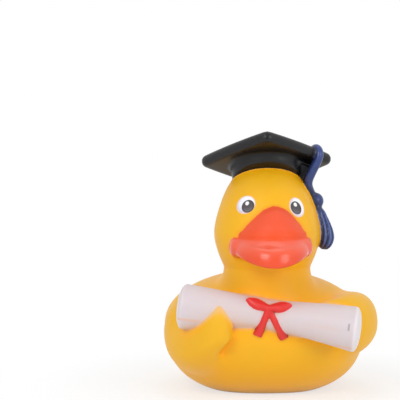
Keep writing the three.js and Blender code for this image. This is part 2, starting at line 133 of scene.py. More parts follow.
class Curve:
    """A smooth line through given points."""

    def __init__(self, points: Sequence[Sequence[float]], centripetal: bool = True) -> None:
        """Keeps the points and samples the line.

        Args:
            points: The points that the line goes through.
            centripetal: Whether the line is kept from overshooting between uneven points.
        """
        self.points = np.array(points, float)
        self.power = 0.25 if centripetal else 0.0
        self.fine = self.at(np.linspace(0.0, 1.0, 600))
        steps = np.linalg.norm(np.diff(self.fine, axis=0), axis=1)
        self.length = np.concatenate([[0.0], np.cumsum(steps)])

    def at(self, share: Array) -> Array:
        """Gives points of the line, with the given points at even shares.

        Args:
            share: Shares from 0 to 1.

        Returns:
            One point for each share.
        """
        count = len(self.points)
        place = np.clip(np.asarray(share, float), 0.0, 1.0) * (count - 1)
        first = np.minimum(place.astype(int), count - 2)
        weight = (place - first)[..., None]
        before = 2.0 * self.points[0] - self.points[1]
        after = 2.0 * self.points[-1] - self.points[-2]
        padded = np.vstack([before, self.points, after])
        p0, p1, p2, p3 = (padded[first + k] for k in range(4))
        d0, d1, d2 = (self._spacing(a, b) for a, b in ((p0, p1), (p1, p2), (p2, p3)))
        t1 = ((p1 - p0) / d0 - (p2 - p0) / (d0 + d1) + (p2 - p1) / d1) * d1
        t2 = ((p2 - p1) / d1 - (p3 - p1) / (d1 + d2) + (p3 - p2) / d2) * d1
        c2 = -3.0 * p1 + 3.0 * p2 - 2.0 * t1 - t2
        c3 = 2.0 * p1 - 2.0 * p2 + t1 + t2
        return p1 + t1 * weight + c2 * weight**2 + c3 * weight**3

    def _spacing(self, a: Array, b: Array) -> Array:
        """Gives the parameter step between two points."""
        gap = np.sum((b - a) ** 2, axis=-1, keepdims=True) ** self.power
        return np.where(gap < 1e-4, 1.0, gap)

    def along(self, share: Array) -> Array:
        """Gives points at shares of the line's length."""
        wanted = np.asarray(share) * self.length[-1]
        return np.stack([np.interp(wanted, self.length, self.fine[:, k]) for k in range(3)], -1)


def smooth_through(heights: Sequence[float], values: Sequence[float]) -> Callable[[Array], Array]:
    """Makes a smooth function through values that belong to heights.

    Args:
        heights: Rising heights.
        values: The value at each height.

    Returns:
        A function that gives the value at any height.
    """
    line = Curve([(value, 0.0, height) for value, height in zip(values, heights)])
    samples = line.at(np.linspace(0.0, 1.0, 24 * len(heights)))
    return lambda height: np.interp(height, samples[:, 2], samples[:, 0])


@dataclass
class Solid:
    """A closed form, as points and faces."""

    points: Array
    faces: list[tuple[int, ...]]

    def joined(self, other: "Solid") -> "Solid":
        """Puts another form's faces beside this one's.

        Args:
            other: The other form.

        Returns:
            One form with both.
        """
        shift = len(self.points)
        moved = [tuple(i + shift for i in face) for face in other.faces]
        return Solid(np.vstack([self.points, other.points]), self.faces + moved)

    def mesh(self, name: str) -> bpy.types.Mesh:
        """Makes a Blender mesh in metres.

        Args:
            name: The mesh's name.

        Returns:
            The mesh.
        """
        data = bpy.data.meshes.new(name)
        data.from_pydata((self.points * MM).tolist(), [], self.faces)
        data.update()
        return data


def loft(sections: Array) -> Solid:
    """Joins rings of points into a closed form.

    Args:
        sections: An array of rings, points and coordinates.

    Returns:
        The closed form, with a fan at each end.
    """
    rings, count, _ = sections.shape
    points = np.vstack([sections.reshape(-1, 3), sections[0].mean(0), sections[-1].mean(0)])
    faces = []
    for row in range(rings - 1):
        base = row * count
        for i in range(count):
            j = (i + 1) % count
            faces.append((base + i, base + j, base + count + j, base + count + i))
    last = (rings - 1) * count
    for i in range(count):
        j = (i + 1) % count
        faces.append((j, i, rings * count))
        faces.append((last + i, last + j, rings * count + 1))
    return Solid(points, faces)


def turns(count: int) -> Array:
    """Gives even angles once round."""
    return np.linspace(0.0, 2.0 * math.pi, count, endpoint=False)


def sweep(path: Curve, rings: int, count: int, across: Array, sizes: Sizes) -> Solid:
    """Moves an oval section along a path.

    Args:
        path: The line that the section follows.
        rings: How many sections.
        count: Points in each section.
        across: Roughly the section's sideways direction.
        sizes: Gives half the section's width and half its thickness at a share of the path.

    Returns:
        The closed form.
    """
    shares = np.linspace(0.0, 1.0, rings + 1)
    centres = path.along(shares)
    tangents = unit(np.gradient(centres, axis=0))
    up = unit(np.cross(tangents, across))
    side = unit(np.cross(up, tangents))
    cos, sin = np.cos(turns(count)), np.sin(turns(count))
    sections = []
    for share, centre, s, u in zip(shares, centres, side, up):
        half_width, half_thickness = sizes(share)
        sections.append(centre + np.outer(cos * half_width, s) + np.outer(sin * half_thickness, u))
    return loft(np.array(sections))


def ellipsoid(centre: Array, radii: Array, rings: int = 24, count: int = 36) -> Solid:
    """Makes a ball with three different radii.

    Args:
        centre: Its middle.
        radii: Its radii along X, Y and Z.
        rings: How many rings from pole to pole.
        count: Points in each ring.

    Returns:
        The closed form.
    """
    angles = turns(count)
    pole = 0.03
    sections = []
    for lift in np.linspace(pole, math.pi - pole, rings + 1):
        unit_ring = ring(np.cos(angles) * math.sin(lift), np.sin(angles) * math.sin(lift), -math.cos(lift))
        sections.append(centre + radii * unit_ring)
    return loft(np.array(sections))


# The forms of the moulding


@dataclass(frozen=True)
class Hull:
    """The body: an egg from above, with a round belly and a lifted tail."""

    width: float = 73.6
    breast_reach: float = 34.0
    tail_reach: float = 44.0
    waist_height: float = 24.0
    breast_height: float = 25.5
    back_height: float = 43.0
    tail_height: float = 38.5
    tail_sweep: float = 4.5
    keel_below_floor: float = 2.4
    belly_fullness: float = 2.52
    back_fullness: float = 2.0

    def middle(self, share: Array) -> Array:
        """Gives the height of the widest line.

        Args:
            share: From -1 at the breast to 1 at the tail.

        Returns:
            Heights.
        """
        share = np.asarray(share, float)
        front = lerp(self.waist_height, self.breast_height, share**2)
        rear = lerp(self.waist_height, self.tail_height, np.abs(share) ** self.tail_sweep)
        return np.where(share < 0, front, rear)

    def solid(self, inset: float = 0.0, rings: int = 150, count: int = 180) -> Solid:
        """Builds the body, or its hollow when it is inset.

        Args:
            inset: How far inside the outer face.
            rings: Sections from breast to tail.
            count: Points in each section.

        Returns:
            The closed form.
        """
        angles = turns(count)
        is_back = np.sin(angles) > 0
        above = self.back_height - self.waist_height - inset
        below = self.waist_height + self.keel_below_floor - inset
        fullness = np.where(is_back, self.back_fullness, self.belly_fullness)
        x = rounded(np.cos(angles), fullness) * (self.width / 2 - inset)
        z = rounded(np.sin(angles), fullness) * np.where(is_back, above, below)
        sections = []
        tip = 0.02
        for turn in np.linspace(tip, math.pi - tip, rings + 1):
            share = -math.cos(turn)
            reach = (self.breast_reach if share < 0 else self.tail_reach) - inset
            sections.append(ring(x * math.sin(turn), share * reach, self.middle(share) + z * math.sin(turn)))
        return loft(np.array(sections)[::-1])

    def back_at(self, x: Array, y: Array) -> Array:
        """Gives the height of the back above points of the plan.

        Args:
            x: Places across.
            y: Places along.

        Returns:
            Heights.
        """
        share = y / np.where(y < 0, self.breast_reach, self.tail_reach)
        round_ = np.sqrt(np.maximum(1 - share**2, 0))
        across = np.minimum(np.abs(x) / np.maximum(self.width / 2 * round_, 1e-6), 1)
        rise = (self.back_height - self.waist_height) * round_
        return self.middle(share) + rise * (1 - across**self.back_fullness) ** (1 / self.back_fullness)

    def breast_at(self, x: float, z: float) -> float:
        """Gives how far forward the breast comes.

        Args:
            x: Place across.
            z: Height.

        Returns:
            The place along Y.
        """
        share = 1.0
        for _ in range(6):
            up = z - float(self.middle(-share))
            n, reach = self.belly_fullness, self.waist_height + self.keel_below_floor
            if up > 0:
                n, reach = self.back_fullness, self.back_height - self.waist_height
            used = (abs(x) / (self.width / 2)) ** n + (abs(up) / reach) ** n
            share = math.sqrt(max(1 - min(used, 1) ** (2 / n), 0))
        return -share * self.breast_reach


@dataclass(frozen=True)
class Head:
    """The head and neck, round from above, with a collar that runs out into the body."""

    centre_y: float = -14.0
    crown_lean: float = 3.6
    collar_radius: float = 23.0
    neck_width: float = 30.8
    neck_height: float = 46.0
    width: float = 37.8
    cheek_height: float = 58.0
    brow_width: float = 26.6
    brow_height: float = 75.4
    crown_height: float = 82.5
    throat_inset: float = 1.1
    temple_share: float = 0.32
    crown_share: float = 0.31

    def radius(self, height: Array) -> Array:
        """Gives the head's radius.

        Args:
            height: Heights.

        Returns:
            Radii.
        """
        heights = [
            self.neck_height,
            lerp(self.neck_height, self.cheek_height, 0.5),
            self.cheek_height,
            lerp(self.cheek_height, self.brow_height, 0.5),
            self.brow_height,
            lerp(self.brow_height, self.crown_height, 0.75),
            self.crown_height,
        ]
        radii = [
            self.neck_width / 2,
            self.width / 2 - self.throat_inset,
            self.width / 2,
            lerp(self.width, self.brow_width, self.temple_share) / 2,
            self.brow_width / 2,
            self.brow_width * self.crown_share,
            0.2,
        ]
        return smooth_through(heights, radii)(height)

    def middle_y(self, height: Array) -> Array:
        """Gives where the head's middle is along Y."""
        share = np.clip((height - self.cheek_height) / (self.crown_height - self.cheek_height), 0, 1)
        return self.centre_y + self.crown_lean * share

    def solid(self, hull: Hull, inset: float = 0.0, rings: int = 90, count: int = 140) -> Solid:
        """Builds the head and neck, or their hollow when they are inset.

        Args:
            hull: The body that the collar runs out on.
            inset: How far inside the outer face.
            rings: Sections from the collar to the crown.
            count: Points in each section.

        Returns:
            The closed form.
        """
        angles = turns(count)
        cos, sin = np.cos(angles), np.sin(angles)
        forward = np.where(sin < 0, hull.breast_reach + self.centre_y - 1, self.collar_radius)
        root_x = cos * self.collar_radius
        root_y = self.centre_y + sin * forward
        root_z = hull.back_at(root_x, root_y) - 0.4 - inset
        neck = self.neck_width / 2 - inset
        sections = []
        neck_rings = round(rings / 3)
        for i in range(neck_rings):
            turn = (1 - i / neck_rings) * math.pi / 2
            spread = 1 - math.cos(turn)
            x = lerp(cos * neck, root_x, spread)
            y = lerp(self.centre_y + sin * neck, root_y, spread)
            z = lerp(self.neck_height, root_z, math.sin(turn))
            sections.append(ring(x, y, z))
        for i in range(rings + 1):
            height = lerp(self.neck_height, self.crown_height - inset, math.sin(i / rings * math.pi / 2))
            radius = max(float(self.radius(height + inset * i / rings)) - inset, 0.2)
            sections.append(ring(cos * radius, float(self.middle_y(height)) + sin * radius, height))
        return loft(np.array(sections))


@dataclass(frozen=True)
class Bill:
    """The bill: level slices that are round in front, with a shelf over a full lower lip."""

    width: float = 28.2
    reach: float = 29.6
    dip: float = 3.2
    lip_dip: float = 5.4
    turn: float = 1.5
    peak_shift: float = 1.1
    lip_height: float = 54.2
    shelf_height: float = 56.6
    shelf_width: float = 26.0
    shelf_reach: float = 24.4
    crease_height: float = 57.5
    crease_depth: float = 0.5
    crease_width: float = 0.9
    root_height: float = 68.1
    base_width: float = 25.4
    waist_width: float = 23.0
    root_width: float = 11.0
    middle_width: float = 20.0
    peak_width: float = 4.0
    chin_height: float = 49.0
    lobe_radius: float = 2.8

    def solid(self, head: Head, rings: int = 90, count: int = 120) -> Solid:
        """Builds the bill with the lobes at its mouth corners.

        Args:
            head: The head that carries it.
            rings: Slices from chin to root.
            count: Points in each slice.

        Returns:
            The closed form.
        """
        under = [0, 0.07, 0.24, 0.52, 0.77]
        over_shelf = [0, 0.5, 1]
        over_dome = [0.18, 0.31, 0.5, 0.88, 1]
        heights = [lerp(self.chin_height, self.lip_height, s) for s in under]
        heights += [lerp(self.lip_height, self.shelf_height, s) for s in over_shelf]
        heights += [lerp(self.shelf_height, self.root_height, s) for s in over_dome]
        half = head.width / 2
        swell = [math.sqrt(1 - (1 - s) ** 2) for s in under]
        upper_widths = [
            self.width,
            lerp(self.width, self.shelf_width, 0.45),
            self.shelf_width,
            self.base_width,
            self.waist_width,
            self.middle_width,
            self.root_width,
            self.peak_width,
        ]
        widths = [self.width / 2 * s + 0.3 for s in swell] + [width / 2 for width in upper_widths]
        reaches = [lerp(half - 2, self.reach, s) for s in swell]
        reaches += [self.reach, self.reach - 0.9, self.shelf_reach]
        reaches += [lerp(self.shelf_reach, half, s) for s in (0.16, 0.3, 0.5)]
        reaches += [half - 0.6, half - 3]
        half_width, forward = smooth_through(heights, widths), smooth_through(heights, reaches)
        root = head.centre_y - head.width / 4
        cos, sin = np.cos(turns(count)), np.sin(turns(count))
        sections = []
        for height in np.linspace(self.chin_height, self.root_height, rings + 1):
            tuck = self.crease_depth * math.exp(-(((height - self.crease_height) / self.crease_width) ** 2))
            front = head.centre_y - float(forward(height)) + tuck
            y = root + np.where(sin < 0, (root - front) * sin, 4 * sin)
            above_lip = (height - self.lip_height) / (self.root_height - self.lip_height)
            x = cos * (float(half_width(height)) - tuck * 0.4) + self.peak_shift * max(above_lip, 0)
            ahead = np.maximum(root - y, 0) / (self.reach - head.width / 4)
            dipping = np.clip((self.shelf_height - height) / (self.shelf_height - self.lip_height), 0, 1)
            above_chin = min((height - self.chin_height) / (self.lip_height - self.chin_height), 1)
            dip = lerp(self.dip, self.lip_dip, above_chin) * dipping
            sections.append(ring(x, y, height - dip * ahead**2))
        bill = loft(np.array(sections))
        return self._aside(bill, head).joined(self.lobes(head))

    def lobes(self, head: Head) -> Solid:
        """Builds the soft lobes at the mouth's corners.

        Args:
            head: The head that carries the bill.

        Returns:
            The closed forms side by side.
        """
        x = self.width / 2 - self.lobe_radius * 0.72
        y = head.centre_y - head.width * 0.375
        radii = self.lobe_radius * vec(0.9, 1.4, 1.25)
        right, left = (ellipsoid(vec(side * x, y, self.lip_height - 0.4), radii) for side in (-1, 1))
        return self._aside(right.joined(left), head)

    def _aside(self, solid: Solid, head: Head) -> Solid:
        """Turns a form of the bill with it, a little to one side.

        Args:
            solid: The form.
            head: The head that carries the bill.

        Returns:
            The turned form.
        """
        x, y = turned(solid.points[:, 0], solid.points[:, 1] - head.centre_y, math.radians(self.turn))
        return Solid(ring(x, y + head.centre_y, solid.points[:, 2]), solid.faces)


@dataclass(frozen=True)
class Cap:
    """The graduation cap: a round band under a square board."""

    tilt: float = 23.0
    turn: float = -3.0
    centre_y: float = -8.5
    centre_height: float = 83.7
    side: float = 34.6
    side_bulge: float = 0.6
    thickness: float = 4.2
    corner_radius: float = 3.0
    edge_radius: float = 1.9
    nick_width: float = 0.9
    nick_height: float = 2.8
    band_width: float = 24.4
    band_height: float = 7.8
    band_flare: float = 0.7
    rim_slope: float = 12.0

    def placed(self, points: Array) -> Array:
        """Moves points from the board's own frame to the duck's.

        Args:
            points: Points round the middle of the board.

        Returns:
            The moved points.
        """
        points = np.asarray(points, float)
        x, y = turned(points[..., 0], points[..., 1], math.radians(45 + self.turn))
        y, z = turned(y, points[..., 2], -math.radians(self.tilt))
        return ring(x, y + self.centre_y, z + self.centre_height)

    def board(self) -> Solid:
        """Builds the board with rounded corners and edges.

        Returns:
            The closed form.
        """
        along_side, round_corner, over_edge = 40, 12, 13
        flat = self.thickness / 2 - self.edge_radius
        arc = np.linspace(0, math.pi / 2, round_corner, endpoint=False)
        sections = []
        for lift in np.linspace(-math.pi / 2, math.pi / 2, over_edge):
            inset = self.edge_radius * (1 - math.cos(lift))
            z = self.edge_radius * math.sin(lift) + math.copysign(flat, lift)
            half = self.side / 2 - inset
            corner = max(self.corner_radius - inset, 0.5)
            straight = half - corner
            run = np.linspace(-straight, straight, along_side, endpoint=False)
            edge_x = half + self.side_bulge * (1 - (run / straight) ** 2)
            quarter_x = np.concatenate([edge_x, straight + corner * np.cos(arc)])
            quarter_y = np.concatenate([run, straight + corner * np.sin(arc)])
            outline = [ring(*turned(quarter_x, quarter_y, side * math.pi / 2), z) for side in range(4)]
            sections.append(self.placed(np.vstack(outline)))
        return loft(np.array(sections))

    def front_corner(self) -> Array:
        """Gives the tip of the board's front corner."""
        reach = self.side / 2 - self.corner_radius * (1 - math.cos(math.pi / 4))
        return self.placed(vec(-reach, -reach, 0))

    def band(self, count: int = 120) -> Solid:
        """Builds the band, whose rim slopes down towards the back of the head.

        Args:
            count: Points in each ring.

        Returns:
            The closed form.
        """
        under = self.thickness / 2
        slope = math.tan(math.radians(self.rim_slope))
        half = self.band_width / 2
        profile = [
            (half - 0.6, self.band_height, 1.0),
            (half - 0.18, self.band_height - 0.18, 1.0),
            (half, self.band_height - 0.6, 1.0),
            (half + self.band_flare / 2, lerp(under, self.band_height, 0.5), 0.5),
            (half + self.band_flare, under + 0.6, 0.0),
            (half + self.band_flare + 0.8, under, 0.0),
            (half + self.band_flare, 0.0, 0.0),
        ]
        backward = math.radians(45 - self.turn)
        angles = turns(count)
        sections = []
        for radius, drop, share in profile:
            fall = np.cos(angles - backward) * radius * slope * share
            sections.append(self.placed(ring(np.cos(angles) * radius, np.sin(angles) * radius, -drop - fall)))
        return loft(np.array(sections))


@dataclass(frozen=True)
class Tassel:
    """The tassel: a cord over the board's edge, a knot, and a fringe on the side of the head."""

    along_edge: float = 0.26
    cord_width: float = 3.8
    cord_thickness: float = 3.2
    knot_radius: float = 3.1
    knot_height: float = 69.2
    fringe_end: float = 52.3
    fringe_width: float = 9.0
    fringe_thickness: float = 5.6
    strands: int = 10
    strand_depth: float = 0.9
    plain: float = 0.6
    below_board: float = 3.5

    def solid(self, cap: Cap, head: Head) -> Solid:
        """Builds the cord, knot and fringe.

        Args:
            cap: The cap that it hangs from.
            head: The head that it lies on.

        Returns:
            The closed forms side by side.
        """
        half = cap.side / 2
        along = lerp(half, -half, self.along_edge)

        def on_board(outward: float, height: float) -> Array:
            """Gives a point over the board's edge."""
            return cap.placed(vec(along, -outward, height))

        def on_head(height: float, stand_off: float, back: float = 0.0) -> Array:
            """Gives a point at the side of the head."""
            return vec(float(head.radius(height)) + stand_off, float(head.middle_y(height)) + back, height)

        under = cap.centre_height - cap.thickness - self.below_board
        cord_path = Curve([
            on_board(half - self.cord_width * 0.75, cap.thickness / 2 - self.cord_thickness * 0.3),
            on_board(half - 0.5, cap.thickness / 2 - self.cord_thickness * 0.1),
            on_board(half + self.cord_thickness * 0.25, -cap.thickness / 4),
            on_head(under, 1.6, -3.5),
            on_head(lerp(under, self.knot_height, 0.45), 0.6, -1.5),
            on_head(self.knot_height, 0.8),
        ])
        half_sizes = (self.cord_width / 2, self.cord_thickness / 2)
        cord = sweep(cord_path, 60, 36, vec(0, 1, 0), lambda share: half_sizes)
        knot = ellipsoid(on_head(self.knot_height, 1.0), self.knot_radius * vec(1, 1, 1))
        drop = self.fringe_end - self.knot_height
        fringe_path = Curve([
            on_head(self.knot_height, 0.8),
            on_head(self.knot_height + drop * 0.33, 0.9),
            on_head(self.knot_height + drop * 0.7, 1.7),
            on_head(self.fringe_end, 2.4),
        ])

        def fringe_sizes(share: float) -> tuple[float, float]:
            """Spreads the fringe below the knot and rounds its end.

            Args:
                share: From 0 at the knot to 1 at the end.

            Returns:
                Half the width and half the thickness.
            """
            rounded_from, rounded_over = 0.72, 0.29
            past = max(share - rounded_from, 0.0) / rounded_over
            spread = min(1.0, 0.42 + 0.75 * share) * math.sqrt(max(1 - past**2, 0.02))
            room = self.strand_depth * 0.6
            return (self.fringe_width * spread + room) / 2, (self.fringe_thickness * spread + room) / 2

        fringe = sweep(fringe_path, 60, 144, vec(0, 1, 0), fringe_sizes)
        return cord.joined(knot).joined(fringe)

    def web(self, cap: Cap, head: Head) -> Solid:
        """Builds the web that fills the gap between the cord and the head.

        Args:
            cap: The cap that the cord hangs from.
            head: The head that it lies on.

        Returns:
            The closed form.
        """
        under = cap.centre_height - cap.thickness - self.below_board
        places = [(under + 2, 0.6), (lerp(under, self.knot_height, 0.4), -0.9), (self.knot_height, -0.6)]
        points = [vec(float(head.radius(z)) + off, float(head.middle_y(z)), z) for z, off in places]
        path = Curve([points[0] + vec(1.2, 0, cap.thickness), *points])
        return sweep(path, 30, 36, vec(0, 1, 0), lambda share: (lerp(3.4, 2.0, share), lerp(4.4, 1.8, share)))

    def strand(self, points: Array, head: Head) -> Array:
        """Finds the strands of the fringe.

        Args:
            points: Points on the tassel.
            head: The head that it lies on.

        Returns:
            1 on the middle of a strand and 0 between two, and the plain share above the fringe.
        """
        z = np.clip(points[:, 2], self.fringe_end, self.knot_height)
        x = points[:, 0] - head.radius(z) - 1.4
        y = points[:, 1] - head.middle_y(z)
        angle = np.arctan2(x / self.fringe_thickness, y / self.fringe_width)
        wave = np.abs(np.cos(angle * self.strands / 2 + (z - self.fringe_end) * 0.04))
        share = smoothstep(self.knot_height - 2.2 - points[:, 2], 0.0, 2.0)
        return lerp(self.plain, wave, share)


@dataclass(frozen=True)
class Roll:
    """The rolled paper: pinched by its ribbon, and wider at both ends."""

    right_end: tuple[float, float, float] = (-30.4, -27.2, 33.4)
    left_end: tuple[float, float, float] = (29.0, -37.3, 26.6)
    rise: float = 1.2
    right_radius: float = 7.9
    left_radius: float = 7.8
    pinch_radius: float = 5.0
    pinch_at: float = 0.49
    end_bulge: float = 1.5
    rim_radius: float = 0.8

    def centre(self, share: float) -> Array:
        """Gives a point of the roll's axis."""
        start, end = np.array(self.right_end), np.array(self.left_end)
        return start + (end - start) * share + vec(0, 0, self.rise * 4 * share * (1 - share))

    def directions(self) -> tuple[Array, Array, Array, float]:
        """Gives the roll's axis, the directions to its side and up across it, and its length.

        Returns:
            Three unit directions and the length.
        """
        span = vec(*self.left_end) - vec(*self.right_end)
        length = float(np.linalg.norm(span))
        axis = span / length
        side = unit(np.cross(axis, vec(0, 0, 1)))
        return axis, side, np.cross(side, axis), length

    def _dome(self, radius: float) -> list[tuple[float, float]]:
        """Gives the radius and bulge of an end, from its tip to its rim.

        Args:
            radius: The roll's radius at that end.

        Returns:
            Pairs of radius and bulge.
        """
        steps = 12
        lifts = [(1 - i / steps) * math.pi / 2 for i in range(steps)]
        flat = radius - self.rim_radius
        return [(max(flat * math.cos(lift), 0.05), self.end_bulge * math.sin(lift)) for lift in lifts]

    def radius(self, share: Array) -> Array:
        """Gives the roll's radius.

        Args:
            share: From 0 at its right end to 1 at its left end.

        Returns:
            Radii.
        """
        share = np.asarray(share, float)
        is_right = share < self.pinch_at
        away = np.where(is_right, (self.pinch_at - share) / self.pinch_at,
                        (share - self.pinch_at) / (1 - self.pinch_at))
        ends = np.where(is_right, self.right_radius, self.left_radius)
        return lerp(self.pinch_radius, ends, np.clip(away, 0, 1) ** 1.15)

    def solid(self, count: int = 120) -> Solid:
        """Builds the roll with its bulging ends.

        Args:
            count: Points in each ring.

        Returns:
            The closed form.
        """
        axis, side, up, length = self.directions()
        rim, pieces = self.rim_radius, 60
        profile = [(radius, -bulge) for radius, bulge in self._dome(self.right_radius)]
        profile.append((self.right_radius - rim * 0.4, 0.0))
        for i in range(pieces + 1):
            profile.append((float(self.radius(i / pieces)), lerp(rim, length - rim, i / pieces)))
        profile.append((self.left_radius - rim * 0.4, length))
        profile += [(radius, length + bulge) for radius, bulge in reversed(self._dome(self.left_radius))]
        angles = turns(count)
        around = np.outer(np.cos(angles), side) + np.outer(np.sin(angles), up)
        sections = []
        for radius, along in profile:
            share = min(max(along / length, 0), 1)
            arch = vec(0, 0, self.rise * 4 * share * (1 - share))
            sections.append(vec(*self.right_end) + axis * along + arch + radius * around)
        return loft(np.array(sections))


@dataclass(frozen=True)
class Bow:
    """The ribbon's bow: a knot, two loops that hug the roll, and two tails over the breast."""

    loop_length: float = 7.6
    loop_width: float = 4.2
    loop_rise: float = 2.0
    tail_length: float = 9.8
    tail_width: float = 3.0
    tail_lean: float = 10.0
    spread: float = 24.0
    thickness: float = 2.2

    def solid(self, roll: Roll, hull: Hull) -> Solid:
        """Builds the bow on the front of the roll.

        Args:
            roll: The roll that carries it.
            hull: The breast that the tails run down on.

        Returns:
            The closed forms side by side.
        """
        start, end = np.array(roll.right_end), np.array(roll.left_end)
        axis = end - start
        middle = roll.centre(roll.pinch_at)
        slope = math.atan2(axis[2], axis[0])

        def front(x: float, z: float) -> float:
            """Gives how far forward the roll or the breast comes.

            Args:
                x: Place across.
                z: Height.

            Returns:
                The place along Y.
            """
            up = z - (middle[2] + math.tan(slope) * (x - middle[0]))
            roll_y = middle[1] + axis[1] / axis[0] * (x - middle[0])
            radius = float(roll.radius((x - start[0]) / axis[0]))
            on_roll = roll_y - math.sqrt(radius**2 - up**2) if abs(up) < radius else 0.0
            return min(on_roll, hull.breast_at(x, z))

        def placed(along: float, up: float) -> Array:
            """Gives a point on the roll or the breast.

            Args:
                along: How far it is along the roll from the middle of the bow.
                up: How far it is across the roll.

            Returns:
                The point.
            """
            x = middle[0] + along * math.cos(slope) - up * math.sin(slope)
            z = middle[2] + along * math.sin(slope) + up * math.cos(slope)
            return vec(x, front(x, z) + 0.1, z)

        knot_up = roll.pinch_radius * 0.5
        bow = ellipsoid(placed(0, knot_up - 0.3), vec(1.25, 1.3, 1.8))
        lean = math.asin(min((knot_up + self.loop_rise * 0.6) / roll.pinch_radius, 1)) * 0.8
        over_roll = vec(0, math.sin(lean), math.cos(lean))
        for side in (-1, 1):
            over = self.loop_length * side
            loop = Curve([placed(over * s, knot_up + self.loop_rise * s) for s in (0, 0.35, 0.7, 1)])
            bow = bow.joined(sweep(loop, 30, 40, over_roll, self._loop_sizes))
            drift = math.tan(math.radians(self.tail_lean + self.spread * side))
            down = self.tail_length
            tail = Curve([placed(drift * s * down, knot_up - s * down) for s in (0, 0.3, 0.6, 1)])
            bow = bow.joined(sweep(tail, 30, 40, vec(1, 0, 0), self._tail_sizes))
        return bow

    def _loop_sizes(self, share: float) -> tuple[float, float]:
        """Gives half a loop's width and thickness."""
        swell = math.sin(math.pi * lerp(0.12, 0.96, share**1.3)) ** 0.7
        return self.loop_width / 2 * swell, self.thickness * 0.6

    def _tail_sizes(self, share: float) -> tuple[float, float]:
        """Gives half a tail's width and thickness."""
        return self.tail_width / 2 * lerp(0.6, 1.0, share), self.thickness * 0.5


@dataclass(frozen=True)
class Wings:
    """The wings: the right one grips the roll from in front, and the left one holds it from behind."""

    middle_height: float = 24.0
    right_thickness: float = 9.0
    left_thickness: float = 11.6
    right_stand_off: float = 0.2
    left_stand_off: float = 3.4
    right_tip: tuple[float, float, float] = (-17.9, -34.2, 35.0)
    left_tip: tuple[float, float, float] = (18.6, -33.4, 36.8)
    fullness: float = 2.2

    def _wing(self, rows: Sequence[Sequence[float]]) -> Solid:
        """Builds a wing from its rows.

        Args:
            rows: For each section its middle in plan, top, bottom, thickness, and how far its foot leans in.

        Returns:
            The closed form.
        """
        middles = Curve([(x, y, lerp(low, top, 0.5)) for x, y, top, low, _, _ in rows], centripetal=False)
        sizes = Curve([(top - low, thick, lean) for _, _, top, low, thick, lean in rows], centripetal=False)
        angles = turns(72)
        shares = np.linspace(0, 1, 91)
        centres, size = middles.at(shares), sizes.at(shares)
        flat = np.gradient(centres, axis=0) * vec(1, 1, 0)
        across = np.cross(vec(0, 0, 1), unit(flat))
        sections = []
        for centre, (height, thick, lean), side in zip(centres, size, across):
            inward = -np.sign(side @ centre)
            up = rounded(np.sin(angles), self.fullness)
            out = rounded(np.cos(angles), self.fullness) * max(thick, 0.8) / 2
            out = out + inward * lean * np.maximum(-up, 0) ** 2
            sections.append(centre + np.outer(out, side) + np.outer(up * max(height, 1) / 2, vec(0, 0, 1)))
        return loft(np.array(sections))

    def right(self, hull: Hull) -> Solid:
        """Builds the duck's right wing.

        Args:
            hull: The body that it swells out of.

        Returns:
            The closed form.
        """
        mid, thick = self.middle_height, self.right_thickness
        side = -hull.width / 2 - self.right_stand_off + thick / 2
        tip_x, tip_y, tip_z = self.right_tip
        return self._wing([
            (side + 5, 5, mid + 4, mid - 6, thick * 0.6, 1),
            (side + 1, -2, mid + 7, mid - 11, thick, 3),
            (side, -10, mid + 6.5, mid - 14, thick, 4),
            (lerp(side, tip_x, 0.12), -18, mid + 2.5, mid - 16, thick, 5),
            (lerp(side, tip_x, 0.36), -25, mid + 2.2, mid - 15.5, thick, 7),
            (lerp(side, tip_x, 0.62), tip_y + 4.2, tip_z - 5.6, mid - 14, thick * 0.95, 9),
            (lerp(side, tip_x, 0.84), tip_y + 1.2, tip_z - 2, mid - 12, thick * 0.9, 10),
            (tip_x + 0.2, tip_y, tip_z + 0.2, mid - 10, thick * 0.82, 10),
            (tip_x + 2.1, tip_y + 0.1, tip_z - 2, mid - 8, thick * 0.7, 9),
            (tip_x + 3.2, tip_y + 1.2, tip_z - 6.5, mid - 4, thick * 0.5, 6),
            (tip_x + 3.8, tip_y + 2.4, tip_z - 10, mid + 1, thick * 0.2, 2),
        ])

    def left(self, hull: Hull) -> Solid:
        """Builds the duck's left wing.

        Args:
            hull: The body that it swells out of.

        Returns:
            The closed form.
        """
        mid, thick = self.middle_height, self.left_thickness
        side = hull.width / 2 + self.left_stand_off - thick / 2
        tip_x, tip_y, tip_z = self.left_tip
        return self._wing([
            (side - 5, 5, mid + 7, mid - 4, thick * 0.6, 1),
            (side - 3, -2, mid + 11.2, mid - 8.5, thick * 1.3, 2),
            (side - 3.2, -10.5, mid + 12.4, mid - 10, thick * 1.55, 3),
            (lerp(side, tip_x, 0.11) - 3.4, -18, mid + 13.2, mid - 10.5, thick * 1.55, 3),
            (lerp(side, tip_x, 0.34) - 2, tip_y + 9, tip_z + 0.4, mid - 8, thick * 1.25, 3),
            (lerp(side, tip_x, 0.66), tip_y + 4.4, tip_z - 0.2, mid - 2, thick * 0.9, 1),
            (tip_x, tip_y + 2.4, tip_z - 1, mid + 3, thick * 0.6, 0),
            (tip_x - 2.4, tip_y + 1.8, tip_z - 2.6, mid + 5.5, thick * 0.3, 0),
        ])


